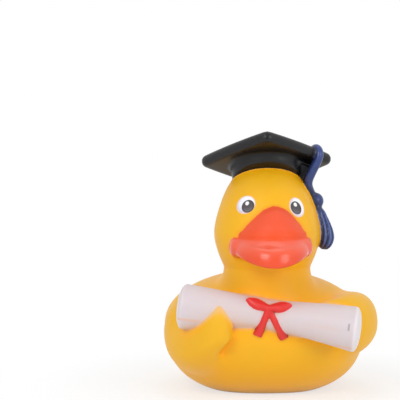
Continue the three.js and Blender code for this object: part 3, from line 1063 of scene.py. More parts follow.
@dataclass(frozen=True)
class Skin:
    """How the forms are fused into one hollow moulding, and how its folds are found."""

    voxel: float = 0.42
    wall: float = 2.0
    air_hole_radius: float = 1.6
    most_triangles: int = 190000
    even_out: int = 5
    join_factor: float = 0.9
    wide_passes: int = 160
    narrow_passes: int = 30
    wing_join: float = 8.0
    neck_join: float = 6.0
    bill_join: float = 1.6
    lobe_join: float = 3.2
    roll_join: float = 0.9
    crease_passes: int = 6
    crease_gain: float = 1.6
    fold_passes: int = 60
    fold_gain: float = 6.0
    fold_most: float = 0.8
    fold_spread: float = 0.6

    def fused(self, forms: dict[Form, Solid]) -> bpy.types.Object:
        """Fuses the forms into one outer skin.

        Args:
            forms: Every form of the moulding.

        Returns:
            The skin's object, in the duck's own frame.
        """
        whole = reduce(Solid.joined, forms.values())
        skin = place_in_scene(NODE + "_skin", whole.mesh(NODE + "_skin"))
        modify(skin, "REMESH", mode="VOXEL", voxel_size=self.voxel * MM)
        modify(skin, "SMOOTH", factor=0.5, iterations=self.even_out)
        return skin

    def thinned(self, skin: bpy.types.Object) -> None:
        """Drops triangles where the skin is flat, down to the budget.

        Args:
            skin: The skin.
        """
        count = sum(len(p.vertices) - 2 for p in skin.data.polygons)
        if count > self.most_triangles:
            modify(skin, "DECIMATE", ratio=self.most_triangles / count)


def place_in_scene(name: str, data: bpy.types.ID) -> bpy.types.Object:
    """Makes an object of a mesh, lamp or camera, and puts it in the scene.

    Args:
        name: The object's name.
        data: What it shows.

    Returns:
        The object.
    """
    obj = bpy.data.objects.new(name, data)
    bpy.context.scene.collection.objects.link(obj)
    return obj


def modify(obj: bpy.types.Object, kind: str, **settings: object) -> None:
    """Runs a modifier and bakes it into the object's mesh.

    Args:
        obj: The object.
        kind: Blender's name for the modifier.
        **settings: Its settings.
    """
    modifier = obj.modifiers.new(kind.lower(), kind)
    for name, value in settings.items():
        setattr(modifier, name, value)
    graph = bpy.context.evaluated_depsgraph_get()
    graph.update()
    mesh = bpy.data.meshes.new_from_object(obj.evaluated_get(graph))
    obj.modifiers.clear()
    obj.data = mesh


def read(items: bpy.types.bpy_prop_collection, name: str, width: int, kind: type = np.float32) -> Array:
    """Reads numbers from a mesh's points or edges.

    Args:
        items: The points or edges.
        name: Which of their properties.
        width: How many numbers each has.
        kind: The type of number.

    Returns:
        One row for each.
    """
    flat = np.zeros(len(items) * width, kind)
    items.foreach_get(name, flat)
    return flat.reshape(-1, width)


def points_of(mesh: bpy.types.Mesh) -> Array:
    """Reads a mesh's points in millimetres."""
    return read(mesh.vertices, "co", 3).astype(float) / MM


def set_points(mesh: bpy.types.Mesh, points: Array) -> None:
    """Writes a mesh's points from millimetres."""
    mesh.vertices.foreach_set("co", (points * MM).astype(np.float32).ravel())
    mesh.update()


def distances(points: Array, solid: Solid) -> Array:
    """Measures how far points are from a form's surface.

    Args:
        points: The points.
        solid: The form.

    Returns:
        Distances in millimetres.
    """
    tree = BVHTree.FromPolygons(solid.points.tolist(), solid.faces)
    found = np.empty(len(points))
    for i, point in enumerate(points):
        found[i] = tree.find_nearest(Vector(point))[3]
    return found


def build_forms() -> dict[Form, Solid]:
    """Builds every form of the moulding.

    Returns:
        The forms by name.
    """
    hull, head, cap, roll, wings = Hull(), Head(), Cap(), Roll(), Wings()
    return {
        Form.HULL: hull.solid(),
        Form.HEAD: head.solid(hull),
        Form.BILL: Bill().solid(head),
        Form.CAP: cap.board().joined(cap.band()),
        Form.TASSEL: Tassel().solid(cap, head),
        Form.WEB: Tassel().web(cap, head),
        Form.ROLL: roll.solid(),
        Form.RIGHT_WING: wings.right(hull),
        Form.LEFT_WING: wings.left(hull),
        Form.BOW: Bow().solid(roll, hull),
    }


# Paint and finish


@dataclass(frozen=True)
class Finish:
    """How a surface looks: its colour, with painted shading in wide folds, painted highlight on ridges and
    painted shade in grooves.
    """

    colour: str
    fold_shading: str
    ridge_highlight: str
    groove_shade: str
    roughness: float
    coat: float


@dataclass(frozen=True)
class Spray:
    """One sprayed paint: how soft its edge is in millimetres, and how much mist lies round it."""

    field: str
    finish: Finish
    soft: float
    mist: float


@dataclass(frozen=True)
class Eye:
    """One printed eye, placed on the head by its turn from straight ahead and its height.

    The white leans by white_lean degrees, and the pupil lies to one side of its middle and above it.
    """

    turn: float
    height: float
    white_width: float
    white_height: float
    white_lean: float
    pupil_width: float
    pupil_height: float
    pupil_side: float
    pupil_lift: float
    rim: float = 0.7
    pupil_rim: float = 0.6
    glint_width: float = 1.35
    glint_height: float = 1.45
    glint_side: float = -0.3
    glint_lift: float = 0.24


# Rotationally moulded soft vinyl: a waxy yellow, painted brighter and warmer in its folds as painted glow,
# with painted shade in its grooves and a painted highlight on its ridges
VINYL = Finish("#ECB21D", "#FDB60A", "#F3BE2F", "#F5AB09", roughness=0.44, coat=0.0)
# Sprayed coral vinyl paint: nearly matt, with painted shade, a little redder and darker, in its folds and
# grooves
BILL_PAINT = Finish("#EC5836", "#F05424", "#EC5838", "#E44C22", roughness=0.48, coat=0.0)
# Sprayed black vinyl paint, with a painted sheen on ridges such as the board's edges and painted shade in its
# folds and grooves
CAP_PAINT = Finish("#151518", "#0C0C0F", "#222225", "#060607", roughness=0.38, coat=0.05)
# The same black paint where it fills the gap behind the cord, dull, and painted almost black as painted
# shadow in that gap
WEB_PAINT_AND_SHADOW = Finish("#0A0C14", "#07080E", "#0A0D18", "#040508", roughness=0.6, coat=0.0)
# Sprayed navy gloss paint, with painted highlight on its ridges and strands and painted shade in its folds,
# grooves and between strands
TASSEL_PAINT = Finish("#22315F", "#172348", "#33457F", "#0B1024", roughness=0.34, coat=0.25)
# Sprayed white vinyl paint, with painted warm shade in its folds and grooves and a painted highlight on its
# ridges
PAPER_PAINT = Finish("#D5CACE", "#DCC0B2", "#DDD3D8", "#D9B09A", roughness=0.46, coat=0.0)
# Sprayed red gloss paint, with a painted highlight on the folds of the bow and painted shade between them
RIBBON_PAINT = Finish("#DC302C", "#B81E1C", "#E23A36", "#96140F", roughness=0.38, coat=0.1)
# Painted shade in a band over the bill's crease, painted light on its shelf, and painted shade on its lower
# lip
BILL_BAND_SHADE = "#EE5426"
BILL_SHELF_LIGHT = "#EE5E40"
BILL_LIP_SHADE = "#E84C22"
# The paper's ends painted paler as painted light, and painted shade along the sheet's edge and in its slit
PAPER_END_LIGHT = "#E2DCE0"
PAPER_EDGE_SHADE = "#E4B9A2"
PAPER_SLIT_SHADE = "#8A8084"
# Painted highlight on the strands' tops and painted shade between them
STRAND_HIGHLIGHT = "#4A5E9A"
STRAND_GAP_SHADE = "#0C1018"
EYE_WHITE = "#F5F3F8"
EYE_RIM = "#E8C4BE"
EYE_SHADE = "#C8CBDD"
EYE_PUPIL = "#4A4347"
EYE_PUPIL_LOW = "#6A646C"
EYE_PUPIL_RIM = "#241F22"
# Painted shadow in the slit at the board's front corner
CAP_SLIT_SHADOW = "#020202"
WHITE = "#FFFFFF"

# Where a tint begins and where it is full: on the fields fold, crease and strand, which carry painted
# shading, highlight and shade, and on noise
FOLDED = (0.1, 0.9)
RIDGED = (0.42, 0.1)
GROOVED = (0.6, 0.95)
STRAND_TOP = (0.62, 0.98)
STRAND_FOOT = (0.42, 0.08)
STREAKED = (0.52, 0.78)

# How strong the fine variations and the painted shade of the paper's streaks, edge and slit are, and the
# gloss of the wet-looking lip and eyes
MOTTLE_SHARE = 0.25
FEATHER_SHARE = 0.35
STREAK_SHARE = 0.35
STREAK_STRETCH = 0.06
GRAIN_STRENGTH = 0.12
EDGE_SHARE = 0.7
SLIT_SHARE = 0.6
LIP_ROUGHNESS = 0.3
LIP_COAT = 0.4
EYE_COAT = 0.3

# Sizes in millimetres. Real vinyl's grain is finer, and is drawn as coarse as it needs to show
MOTTLE_SIZE = 14.0
GRAIN_SIZE = 0.9
GRAIN_HEIGHT = 0.08
STREAK_WIDTH = 2.6
MIST_REACH = 1.5
WAX_DEPTH = 1.5

SPRAYS = (
    Spray("paint_bill", BILL_PAINT, soft=0.25, mist=0.2),
    Spray("paint_roll", PAPER_PAINT, soft=0.30, mist=0.35),
    Spray("paint_bow", RIBBON_PAINT, soft=0.16, mist=0.1),
    Spray("paint_cap", CAP_PAINT, soft=0.14, mist=0.0),
    Spray("paint_web", WEB_PAINT_AND_SHADOW, soft=0.3, mist=0.0),
    Spray("paint_tassel", TASSEL_PAINT, soft=0.2, mist=0.0),
)

RIGHT_EYE = Eye(
    turn=-30.8,
    height=68.7,
    white_width=7.2,
    white_height=6.8,
    white_lean=10.0,
    pupil_width=4.7,
    pupil_height=4.8,
    pupil_side=0.9,
    pupil_lift=-0.7,
)
LEFT_EYE = Eye(
    turn=34.8,
    height=67.8,
    white_width=6.4,
    white_height=7.4,
    white_lean=-14.0,
    pupil_width=4.5,
    pupil_height=4.9,
    pupil_side=-0.4,
    pupil_lift=-0.3,
)


def linear(colour: str) -> tuple[float, float, float, float]:
    """Turns an sRGB hex colour into Blender's linear one.

    Args:
        colour: Such as #F2B22C.

    Returns:
        Red, green, blue and alpha.
    """
    parts = [int(colour[i : i + 2], 16) / 255 for i in (1, 3, 5)]
    straight = [p / 12.92 if p <= 0.04045 else ((p + 0.055) / 1.055) ** 2.4 for p in parts]
    return (straight[0], straight[1], straight[2], 1.0)


class Kind(Enum):
    """The kinds of node in use: Blender's name, its settings, where values go in, and what comes out."""

    SUM = ("Math", {"operation": "ADD"}, (0, 1), 0)
    LESS = ("Math", {"operation": "SUBTRACT"}, (0, 1), 0)
    TIMES = ("Math", {"operation": "MULTIPLY"}, (0, 1), 0)
    OVER = ("Math", {"operation": "DIVIDE"}, (0, 1), 0)
    LARGER = ("Math", {"operation": "MAXIMUM"}, (0, 1), 0)
    SIZE = ("Math", {"operation": "ABSOLUTE"}, (0,), 0)
    RISE = ("MapRange", {"interpolation_type": "SMOOTHSTEP"}, (0, 1, 2), 0)
    COLOUR = ("Mix", {"data_type": "RGBA"}, (0, 6, 7), 2)
    AMOUNT = ("Mix", {"data_type": "FLOAT"}, (0, 2, 3), 0)
    FIELD = ("Attribute", {"attribute_type": "GEOMETRY"}, (), "Fac")
    NOISE = ("TexNoise", {}, ("Vector", "Scale", "Detail"), 0)
    PLACE = ("TexCoord", {}, (), "Object")
    VECTOR = ("CombineXYZ", {}, (0, 1, 2), 0)
    OFFSET = ("VectorMath", {"operation": "SUBTRACT"}, (0, 1), "Vector")
    ALONG = ("VectorMath", {"operation": "DOT_PRODUCT"}, (0, 1), "Value")
    LENGTH = ("VectorMath", {"operation": "LENGTH"}, (0,), "Value")
    BUMP = ("Bump", {}, ("Strength", "Distance", "Height"), 0)
    VINYL = ("BsdfPrincipled", {}, ("Base Color", "Roughness", "Coat Weight", "Normal"), 0)
    MATT = ("BsdfDiffuse", {}, ("Color",), 0)
    GLOW = ("Emission", {}, ("Color", "Strength"), 0)
    SKY = ("Background", {}, ("Color", "Strength"), 0)
    EITHER = ("MixShader", {}, (0, 1, 2), 0)
    RAYS = ("LightPath", {}, (), None)
    SURFACE = ("OutputMaterial", {}, ("Surface",), None)
    ROOM = ("OutputWorld", {}, ("Surface",), None)


class Nodes:
    """The nodes of one material or world."""

    def __init__(self, owner: bpy.types.Material | bpy.types.World) -> None:
        """Empties the owner's node tree and keeps it.

        Args:
            owner: The material or world.
        """
        owner.use_nodes = True
        self.tree = owner.node_tree
        self.tree.nodes.clear()

    def add(self, kind: Kind, *values: object, **settings: object) -> Socket | bpy.types.Node:
        """Adds a node with its settings and links.

        Args:
            kind: The kind of node.
            *values: What goes in, each a plain value or another node's output.
            **settings: Further properties of the node.

        Returns:
            The node's output, or the node where the kind names none.
        """
        name, fixed, sockets, output = kind.value
        node = self.tree.nodes.new("ShaderNode" + name)
        for key, value in {**fixed, **settings}.items():
            setattr(node, key, value)
        for socket, value in zip(sockets, values):
            if isinstance(value, Socket):
                self.tree.links.new(value, node.inputs[socket])
            else:
                node.inputs[socket].default_value = value
        return node if output is None else node.outputs[output]

    def measured(self, where: Socket, point: Array, directions: Sequence[Array]) -> list[Socket]:
        """Measures in millimetres how far places lie from a point, along some directions.

        Args:
            where: The places, in metres.
            point: The point, in millimetres.
            directions: Unit directions.

        Returns:
            For each direction its measure.
        """
        offset = self.add(Kind.OFFSET, where, tuple(point * MM))
        return [self.add(Kind.ALONG, offset, tuple(direction / MM)) for direction in directions]

    def close(self, value: Socket, middle: float, outer: float, inner: float) -> Socket:
        """Finds where a value is close to a middle.

        Args:
            value: The value.
            middle: The middle.
            outer: How far off the share is 0.
            inner: How far off the share is still 1.

        Returns:
            The share, from 0 to 1.
        """
        off = self.add(Kind.SIZE, self.add(Kind.LESS, value, middle))
        return self.add(Kind.RISE, off, outer, inner)

    def seen(self) -> Socket:
        """Finds the rays that show a surface, straight on or in a mirror or glass.

        Returns:
            1 for such a ray, else 0.
        """
        rays = self.add(Kind.RAYS).outputs
        shown = self.add(Kind.LARGER, rays["Is Camera Ray"], rays["Is Glossy Ray"])
        return self.add(Kind.LARGER, shown, rays["Is Transmission Ray"])


def eye_print(nodes: Nodes, colour: Socket, where: Socket, eye: Eye, head: Head, shift: Array) -> tuple:
    """Prints one eye: a white with a faint pink rim, and a dark pupil with a glint.

    Args:
        nodes: The material's nodes.
        colour: The colour under the print.
        where: Place on the duck, in metres.
        eye: The eye.
        head: The head that carries it.
        shift: From the duck's own frame to the part's.

    Returns:
        The colour with the print, and the mask of the white.
    """
    turn, lean = math.radians(eye.turn), math.radians(eye.white_lean)
    outward = vec(math.sin(turn), -math.cos(turn), 0)
    middle = vec(0, float(head.middle_y(eye.height)), eye.height) + outward * float(head.radius(eye.height))
    slope = (float(head.radius(eye.height + 1)) - float(head.radius(eye.height - 1))) / 2
    rise = unit(vec(outward[0] * slope, outward[1] * slope, 1))
    side = vec(math.cos(turn), math.sin(turn), 0)
    to_right = side * math.cos(lean) + rise * math.sin(lean)
    to_top = rise * math.cos(lean) - side * math.sin(lean)
    right, up, depth = nodes.measured(where, middle + shift, [to_right, to_top, np.cross(side, rise)])
    off_bill = nodes.add(Kind.RISE, nodes.add(Kind.FIELD, attribute_name="paint_bill"), 0.1, -0.1)
    shown = nodes.add(Kind.TIMES, nodes.close(depth, 0.0, 7.0, 6.0), off_bill)

    def oval(across: float, above: float, width: float, height: float, soft: float) -> Socket:
        """Masks an oval of the print.

        Args:
            across: How far its middle is to the right of the white's.
            above: How far its middle is above the white's.
            width: Its width.
            height: Its height.
            soft: How soft its edge is.

        Returns:
            1 inside and 0 outside.
        """
        x = nodes.add(Kind.OVER, nodes.add(Kind.LESS, right, across), width / 2)
        y = nodes.add(Kind.OVER, nodes.add(Kind.LESS, up, above), height / 2)
        squared = nodes.add(Kind.SUM, nodes.add(Kind.TIMES, x, x), nodes.add(Kind.TIMES, y, y))
        edge = soft / min(width, height) * 4
        return nodes.add(Kind.TIMES, nodes.add(Kind.RISE, squared, 1 + edge, 1 - edge), shown)

    pupil_x, pupil_y = eye.pupil_side, eye.pupil_lift
    glint_x, glint_y = pupil_x + eye.glint_side, pupil_y + eye.pupil_height * eye.glint_lift
    white = oval(0, 0, eye.white_width, eye.white_height, 0.14)
    inner = oval(0.1, 0.1, eye.white_width - eye.rim, eye.white_height - eye.rim, 0.35)
    # The white is painted with grey-blue shade towards its lower left, outside an oval set up and to its
    # right
    lit = oval(0.9, 0.9, eye.white_width, eye.white_height, 1.2)
    pupil = oval(pupil_x, pupil_y, eye.pupil_width, eye.pupil_height, 0.1)
    core = oval(pupil_x, pupil_y, eye.pupil_width - eye.pupil_rim, eye.pupil_height - eye.pupil_rim, 0.3)
    glint = oval(glint_x, glint_y, eye.glint_width, eye.glint_height, 0.22)
    low = nodes.add(Kind.RISE, up, pupil_y + 0.3, pupil_y - eye.pupil_height * 0.5)
    ground = nodes.add(Kind.COLOUR, lit, linear(EYE_SHADE), linear(EYE_WHITE))
    ground = nodes.add(Kind.COLOUR, inner, linear(EYE_RIM), ground)
    dark = nodes.add(Kind.COLOUR, low, linear(EYE_PUPIL), linear(EYE_PUPIL_LOW))
    dark = nodes.add(Kind.COLOUR, core, linear(EYE_PUPIL_RIM), dark)
    for mask, paint in ((white, ground), (pupil, dark), (glint, linear(WHITE))):
        colour = nodes.add(Kind.COLOUR, mask, colour, paint)
    return colour, white


def paper_print(nodes: Nodes, colour: Socket, where: Socket, shift: Array) -> Socket:
    """Adds to the paper long soft streaks of painted shade, ends painted paler as painted light, and painted
    shade at the sheet's edge and in its slit.

    Args:
        nodes: The material's nodes.
        colour: The paper's plain colour.
        where: Place on the duck, in metres.
        shift: From the duck's own frame to the part's.

    Returns:
        The paper's colour.
    """
    roll = Roll()
    axis, side, up, length = roll.directions()
    along, over, beside = nodes.measured(where, vec(*roll.right_end) + shift, [axis, up, side])
    measures = ((along, STREAK_STRETCH), (over, 1.0), (beside, 1.0))
    scaled = [nodes.add(Kind.TIMES, measure, size * MM) for measure, size in measures]
    # Long soft streaks of painted shade run along the roll
    streak = nodes.add(Kind.NOISE, nodes.add(Kind.VECTOR, *scaled), 1 / (STREAK_WIDTH * MM), 2.0)
    streak = nodes.add(Kind.TIMES, nodes.add(Kind.RISE, streak, *STREAKED), STREAK_SHARE)
    colour = nodes.add(Kind.COLOUR, streak, colour, linear(PAPER_PAINT.fold_shading))
    # A line of painted shade marks the sheet's edge near each end of the roll: its height, where it begins
    # and where it is full
    for lift, begins, full in ((-3.4, 9.5, 6.0), (-5.8, length - 8.0, length - 5.0)):
        span = nodes.add(Kind.RISE, along, begins, full)
        line = nodes.add(Kind.TIMES, nodes.close(over, lift, 0.8, 0.1), span)
        colour = nodes.add(Kind.COLOUR, nodes.add(Kind.TIMES, line, EDGE_SHARE), colour, linear(PAPER_EDGE_SHADE))
    # Painted shade in the slit near the left end
    slit_x, slit_z = length - 2.6, 1.6
    slit = nodes.add(Kind.TIMES, nodes.close(along, slit_x, 0.5, 0.15), nodes.close(over, slit_z, 1.4, 0.9))
    colour = nodes.add(Kind.COLOUR, nodes.add(Kind.TIMES, slit, SLIT_SHARE), colour, linear(PAPER_SLIT_SHADE))
    # Both ends are painted paler, as painted light on the end faces
    left_end = nodes.add(Kind.RISE, along, length - 1.2, length - 0.4)
    right_end = nodes.add(Kind.RISE, along, 0.0, -0.6)
    return nodes.add(Kind.COLOUR, nodes.add(Kind.LARGER, left_end, right_end), colour, linear(PAPER_END_LIGHT))


def cap_nick(nodes: Nodes, colour: Socket, coat: float, where: Socket, shift: Array) -> tuple[Socket, Socket]:
    """Paints shadow into the small slit in the board's front corner, which has no depth in the mesh.

    Args:
        nodes: The material's nodes.
        colour: The cap's colour.
        coat: The cap's coat.
        where: Place on the duck, in metres.
        shift: From the duck's own frame to the part's.

    Returns:
        The colour and the coat.
    """
    cap = Cap()
    beside, over, behind = nodes.measured(where, cap.front_corner() + shift, np.eye(3)[[0, 2, 1]])
    across = nodes.close(beside, 0.0, cap.nick_width * 0.7, cap.nick_width * 0.3)
    tall = nodes.close(over, 0.0, cap.nick_height * 0.6, cap.nick_height * 0.4)
    slit = nodes.add(Kind.TIMES, nodes.add(Kind.TIMES, across, tall), nodes.close(behind, 0.0, 4.0, 3.0))
    return nodes.add(Kind.COLOUR, slit, colour, linear(CAP_SLIT_SHADOW)), nodes.add(Kind.AMOUNT, slit, coat, 0.0)


def vinyl_material(head: Head, shift: Array) -> bpy.types.Material:
    """Makes the duck's finish: satin yellow vinyl with sprayed and printed paint.

    The eye sees a soft waxy yellow, painted brighter and warmer in the folds as painted glow, with painted
    highlight on ridges and painted shade in grooves, paint with slightly feathered edges, and a fine
    unevenness that breaks up the reflections.

    Args:
        head: The head that carries the eyes.
        shift: From the duck's own frame to the part's.

    Returns:
        The material.
    """
    material = bpy.data.materials.new("soft_vinyl_sprayed")
    nodes = Nodes(material)
    where = nodes.add(Kind.PLACE)
    broad = nodes.add(Kind.NOISE, where, 1 / (MOTTLE_SIZE * MM), 2.0)
    fine = nodes.add(Kind.NOISE, where, 1 / (GRAIN_SIZE * MM), 3.0)
    feather = nodes.add(Kind.TIMES, nodes.add(Kind.LESS, fine, 0.5), FEATHER_SHARE)
    mottle = nodes.add(Kind.TIMES, nodes.add(Kind.LESS, broad, 0.5), MOTTLE_SHARE)
    fold = nodes.add(Kind.SUM, nodes.add(Kind.FIELD, attribute_name="fold"), mottle)
    crease = nodes.add(Kind.FIELD, attribute_name="crease")

    def tinted(value: Socket, span: tuple[float, float], under: Socket | tuple, over: str) -> Socket:
        """Mixes in a colour as a value crosses a span."""
        return nodes.add(Kind.COLOUR, nodes.add(Kind.RISE, value, *span), under, linear(over))

    def shaded(finish: Finish) -> Socket:
        """Gives a finish its painted shading in folds, painted highlight on ridges and painted shade in
        grooves.

        Args:
            finish: The finish.

        Returns:
            The colour.
        """
        plain = tinted(fold, FOLDED, linear(finish.colour), finish.fold_shading)
        plain = tinted(crease, RIDGED, plain, finish.ridge_highlight)
        return tinted(crease, GROOVED, plain, finish.groove_shade)

    height = nodes.add(Kind.ALONG, where, (0, 0, 1 / MM))
    bill = Bill()
    # Painted shade in a darker band on the dome above the crease; below the crease the shelf is painted
    # lighter as painted light, and the lower lip darker as painted shade
    band = (bill.crease_height + 3.8, bill.crease_height + 1.6)
    lip = (bill.lip_height + 0.6, bill.lip_height - 3.0)
    below_crease = nodes.add(Kind.RISE, height, bill.crease_height - 0.2, bill.crease_height - 0.8)
    colour, rough, coat = shaded(VINYL), VINYL.roughness, VINYL.coat
    for spray in SPRAYS:
        finish = spray.finish
        paint, gloss, shine = shaded(finish), finish.roughness, finish.coat
        if finish is BILL_PAINT:
            paint = tinted(height, band, paint, BILL_BAND_SHADE)
            lower = tinted(height, lip, linear(BILL_SHELF_LIGHT), BILL_LIP_SHADE)
            paint = nodes.add(Kind.COLOUR, below_crease, paint, lower)
            gloss = nodes.add(Kind.AMOUNT, below_crease, gloss, LIP_ROUGHNESS)
            shine = nodes.add(Kind.TIMES, below_crease, LIP_COAT)
        if finish is TASSEL_PAINT:
            # Painted highlight along each strand's top and painted shade between strands
            strand = nodes.add(Kind.FIELD, attribute_name="strand")
            paint = tinted(strand, STRAND_TOP, paint, STRAND_HIGHLIGHT)
            paint = tinted(strand, STRAND_FOOT, paint, STRAND_GAP_SHADE)
        if finish is CAP_PAINT:
            paint, shine = cap_nick(nodes, paint, shine, where, shift)
        if finish is PAPER_PAINT:
            paint = paper_print(nodes, paint, where, shift)
        edge = nodes.add(Kind.SUM, nodes.add(Kind.FIELD, attribute_name=spray.field), feather)
        share = nodes.add(Kind.RISE, edge, -spray.soft, spray.soft)
        if spray.mist:
            mist = nodes.add(Kind.TIMES, nodes.add(Kind.RISE, edge, -MIST_REACH, 0.1), spray.mist)
            share = nodes.add(Kind.LARGER, share, mist)
        colour = nodes.add(Kind.COLOUR, share, colour, paint)
        rough = nodes.add(Kind.AMOUNT, share, rough, gloss)
        coat = nodes.add(Kind.AMOUNT, share, coat, shine)
    for eye in (RIGHT_EYE, LEFT_EYE):
        colour, white = eye_print(nodes, colour, where, eye, head, shift)
        coat = nodes.add(Kind.AMOUNT, white, coat, EYE_COAT)
    bump = nodes.add(Kind.BUMP, GRAIN_STRENGTH, GRAIN_HEIGHT * MM, fine)
    shader = nodes.add(Kind.VINYL, colour, rough, coat, bump)
    constant = {
        "IOR": 1.5,
        "Specular IOR Level": 0.3,
        "Subsurface Weight": 0.12,
        "Subsurface Radius": (1.0, 0.5, 0.2),
        "Subsurface Scale": WAX_DEPTH * MM,
        "Coat Roughness": 0.16,
    }
    for name, value in constant.items():
        shader.node.inputs[name].default_value = value
    nodes.add(Kind.SURFACE, shader)
    return material


# For each paint its form, and the forms whose paint is sprayed over it
PAINTS: dict[str, tuple[Form, ...]] = {
    "paint_bill": (Form.BILL,),
    "paint_roll": (Form.ROLL, Form.BOW),
    "paint_bow": (Form.BOW,),
    "paint_cap": (Form.CAP, Form.WEB, Form.TASSEL),
    "paint_web": (Form.WEB, Form.TASSEL),
    "paint_tassel": (Form.TASSEL,),
}


class Duck:
    """The whole duck: one hollow, painted moulding."""

    def __init__(self, cad_box: tuple[Vector, Vector]) -> None:
        """Keeps the CAD model's box and builds the forms.

        Args:
            cad_box: Its lowest and highest corners, in metres.
        """
        self.low = np.array(cad_box[0]) / MM
        self.high = np.array(cad_box[1]) / MM
        self.forms = build_forms()
        self.maker = Skin()
        self.shift = self._shift()

    def _shift(self) -> Array:
        """Finds the way from the duck's own frame to the part's.

        Returns:
            The shift in millimetres.
        """
        points = np.vstack([solid.points for solid in self.forms.values()])
        middle = (points.min(0) + points.max(0)) / 2
        shift = (self.low + self.high) / 2 - middle
        return vec(shift[0], shift[1], 0)

    def build(self) -> bpy.types.Object:
        """Builds the skin and its finish.

        Returns:
            The skin's object.
        """
        skin = self.maker.fused(self.forms)
        LOG.info("fused: %d points", len(skin.data.vertices))
        self._soften(skin)
        self.maker.thinned(skin)
        LOG.info("thinned: %d points", len(skin.data.vertices))
        self._paint(skin)
        self._hollow(skin)
        set_points(skin.data, np.clip(points_of(skin.data) + self.shift, self.low, self.high))
        for face in skin.data.polygons:
            face.use_smooth = True
        skin.data.materials.clear()
        skin.data.materials.append(vinyl_material(Head(), self.shift))
        return skin

    def _soften(self, skin: bpy.types.Object) -> None:
        """Fills the joins between forms softly, as a mould does.

        Args:
            skin: The skin.
        """
        points = points_of(skin.data)
        points[:, 2] = np.maximum(points[:, 2], 0)
        set_points(skin.data, points)
        near = {form: distances(points, solid) for form, solid in self.forms.items()}
        body = np.minimum(near[Form.HULL], near[Form.HEAD])
        trim = np.minimum(near[Form.TASSEL], near[Form.BOW])
        clear = smoothstep(trim, 0.0, 1.0) * smoothstep(points[:, 2], 0.0, 2.0)
        off_roll = smoothstep(near[Form.ROLL], 0.4, 2.5)
        maker = self.maker
        wide = [
            (near[Form.RIGHT_WING], body, maker.wing_join),
            (near[Form.LEFT_WING], body, maker.wing_join),
            (near[Form.HULL], near[Form.HEAD], maker.neck_join),
        ]
        lobes = distances(points, Bill().lobes(Head()))
        narrow = [
            (near[Form.BILL], near[Form.HEAD], maker.bill_join),
            (near[Form.BILL], lobes, maker.lobe_join),
            (near[Form.ROLL], body, maker.roll_join),
        ]
        self._smooth(skin, wide, clear * off_roll, maker.wide_passes)
        self._smooth(skin, narrow, clear, maker.narrow_passes)
        self._raise_strands(skin)

    def _raise_strands(self, skin: bpy.types.Object) -> None:
        """Raises the fringe's strands out of its smooth drop.

        Args:
            skin: The skin.
        """
        tassel = Tassel()
        points = points_of(skin.data)
        own = distances(points, self.forms[Form.TASSEL])
        others = np.min([distances(points, self.forms[form]) for form in (Form.HEAD, Form.CAP)], axis=0)
        share = smoothstep(others - own, 0.3, 1.6)
        lift = (tassel.strand(points, Head()) - tassel.plain) * tassel.strand_depth * share
        set_points(skin.data, points + read(skin.data.vertices, "normal", 3) * lift[:, None])

    def _smooth(self, skin: bpy.types.Object, joins: Sequence[tuple], clear: Array, times: int) -> None:
        """Smooths the skin where forms meet.

        Args:
            skin: The skin.
            joins: For each the distances to both forms, and how far the join reaches.
            clear: Shares that keep fine trim and the foot as they are.
            times: How often the skin is smoothed there.
        """
        weight = np.zeros(len(clear))
        for first, second, reach in joins:
            weight = np.maximum(weight, 1 - smoothstep(np.maximum(first, second), 0.0, reach))
        levels = 10
        level_of = np.round(weight * clear * levels).astype(int)
        group = skin.vertex_groups.new(name="joins")
        for level in range(1, levels + 1):
            group.add(np.nonzero(level_of == level)[0].tolist(), level / levels, "REPLACE")
        modify(skin, "SMOOTH", factor=self.maker.join_factor, iterations=times, vertex_group=group.name)
        skin.vertex_groups.clear()

    def _paint(self, skin: bpy.types.Object) -> None:
        """Keeps on each point how far it is inside each paint, and how deep in a fold.

        Args:
            skin: The skin.
        """
        points = points_of(skin.data)
        near = {form: distances(points, solid) for form, solid in self.forms.items()}
        for name, forms in PAINTS.items():
            others = np.min([near[form] for form in Form if form not in forms], axis=0)
            self._store(skin, name, np.clip(others - near[forms[0]], -3, 3))
        self._store(skin, "strand", Tassel().strand(points, Head()))
        self._folds(skin, points)

    def _folds(self, skin: bpy.types.Object, points: Array) -> None:
        """Keeps on each point how hollow the skin is, close by (crease) and further round (fold).

        Args:
            skin: The skin.
            points: Its points.
        """
        maker = self.maker
        ends = read(skin.data.edges, "vertices", 2, np.int32)
        first, second = ends[:, 0], ends[:, 1]
        normals = read(skin.data.vertices, "normal", 3)

        def gathered(at_first: Array, at_second: Array) -> Array:
            """Adds up for each point what its edges bring."""
            return np.bincount(first, at_first, len(points)) + np.bincount(second, at_second, len(points))

        gap = points[second] - points[first]
        squared = np.maximum(np.linalg.norm(gap, axis=1), 1e-6) ** 2
        rise = np.einsum("ij,ij->i", gap, normals[first]) / squared
        fall = np.einsum("ij,ij->i", gap, normals[second]) / squared
        count = np.maximum(np.bincount(ends.ravel(), minlength=len(points)), 1)
        hollow = gathered(rise, -fall) / count
        for step in range(maker.fold_passes):
            if step == maker.crease_passes:
                self._store(skin, "crease", np.clip(0.5 + hollow * maker.crease_gain, 0, 1))
            around = gathered(hollow[second], hollow[first]) / count
            hollow = lerp(hollow, around, maker.fold_spread)
        self._store(skin, "fold", np.clip(0.5 + hollow * maker.fold_gain, 0, 1) * maker.fold_most)

    def _store(self, skin: bpy.types.Object, name: str, values: Array) -> None:
        """Keeps a number on each of the skin's points."""
        field = skin.data.attributes.new(name, "FLOAT", "POINT")
        field.data.foreach_set("value", values.astype(np.float32))

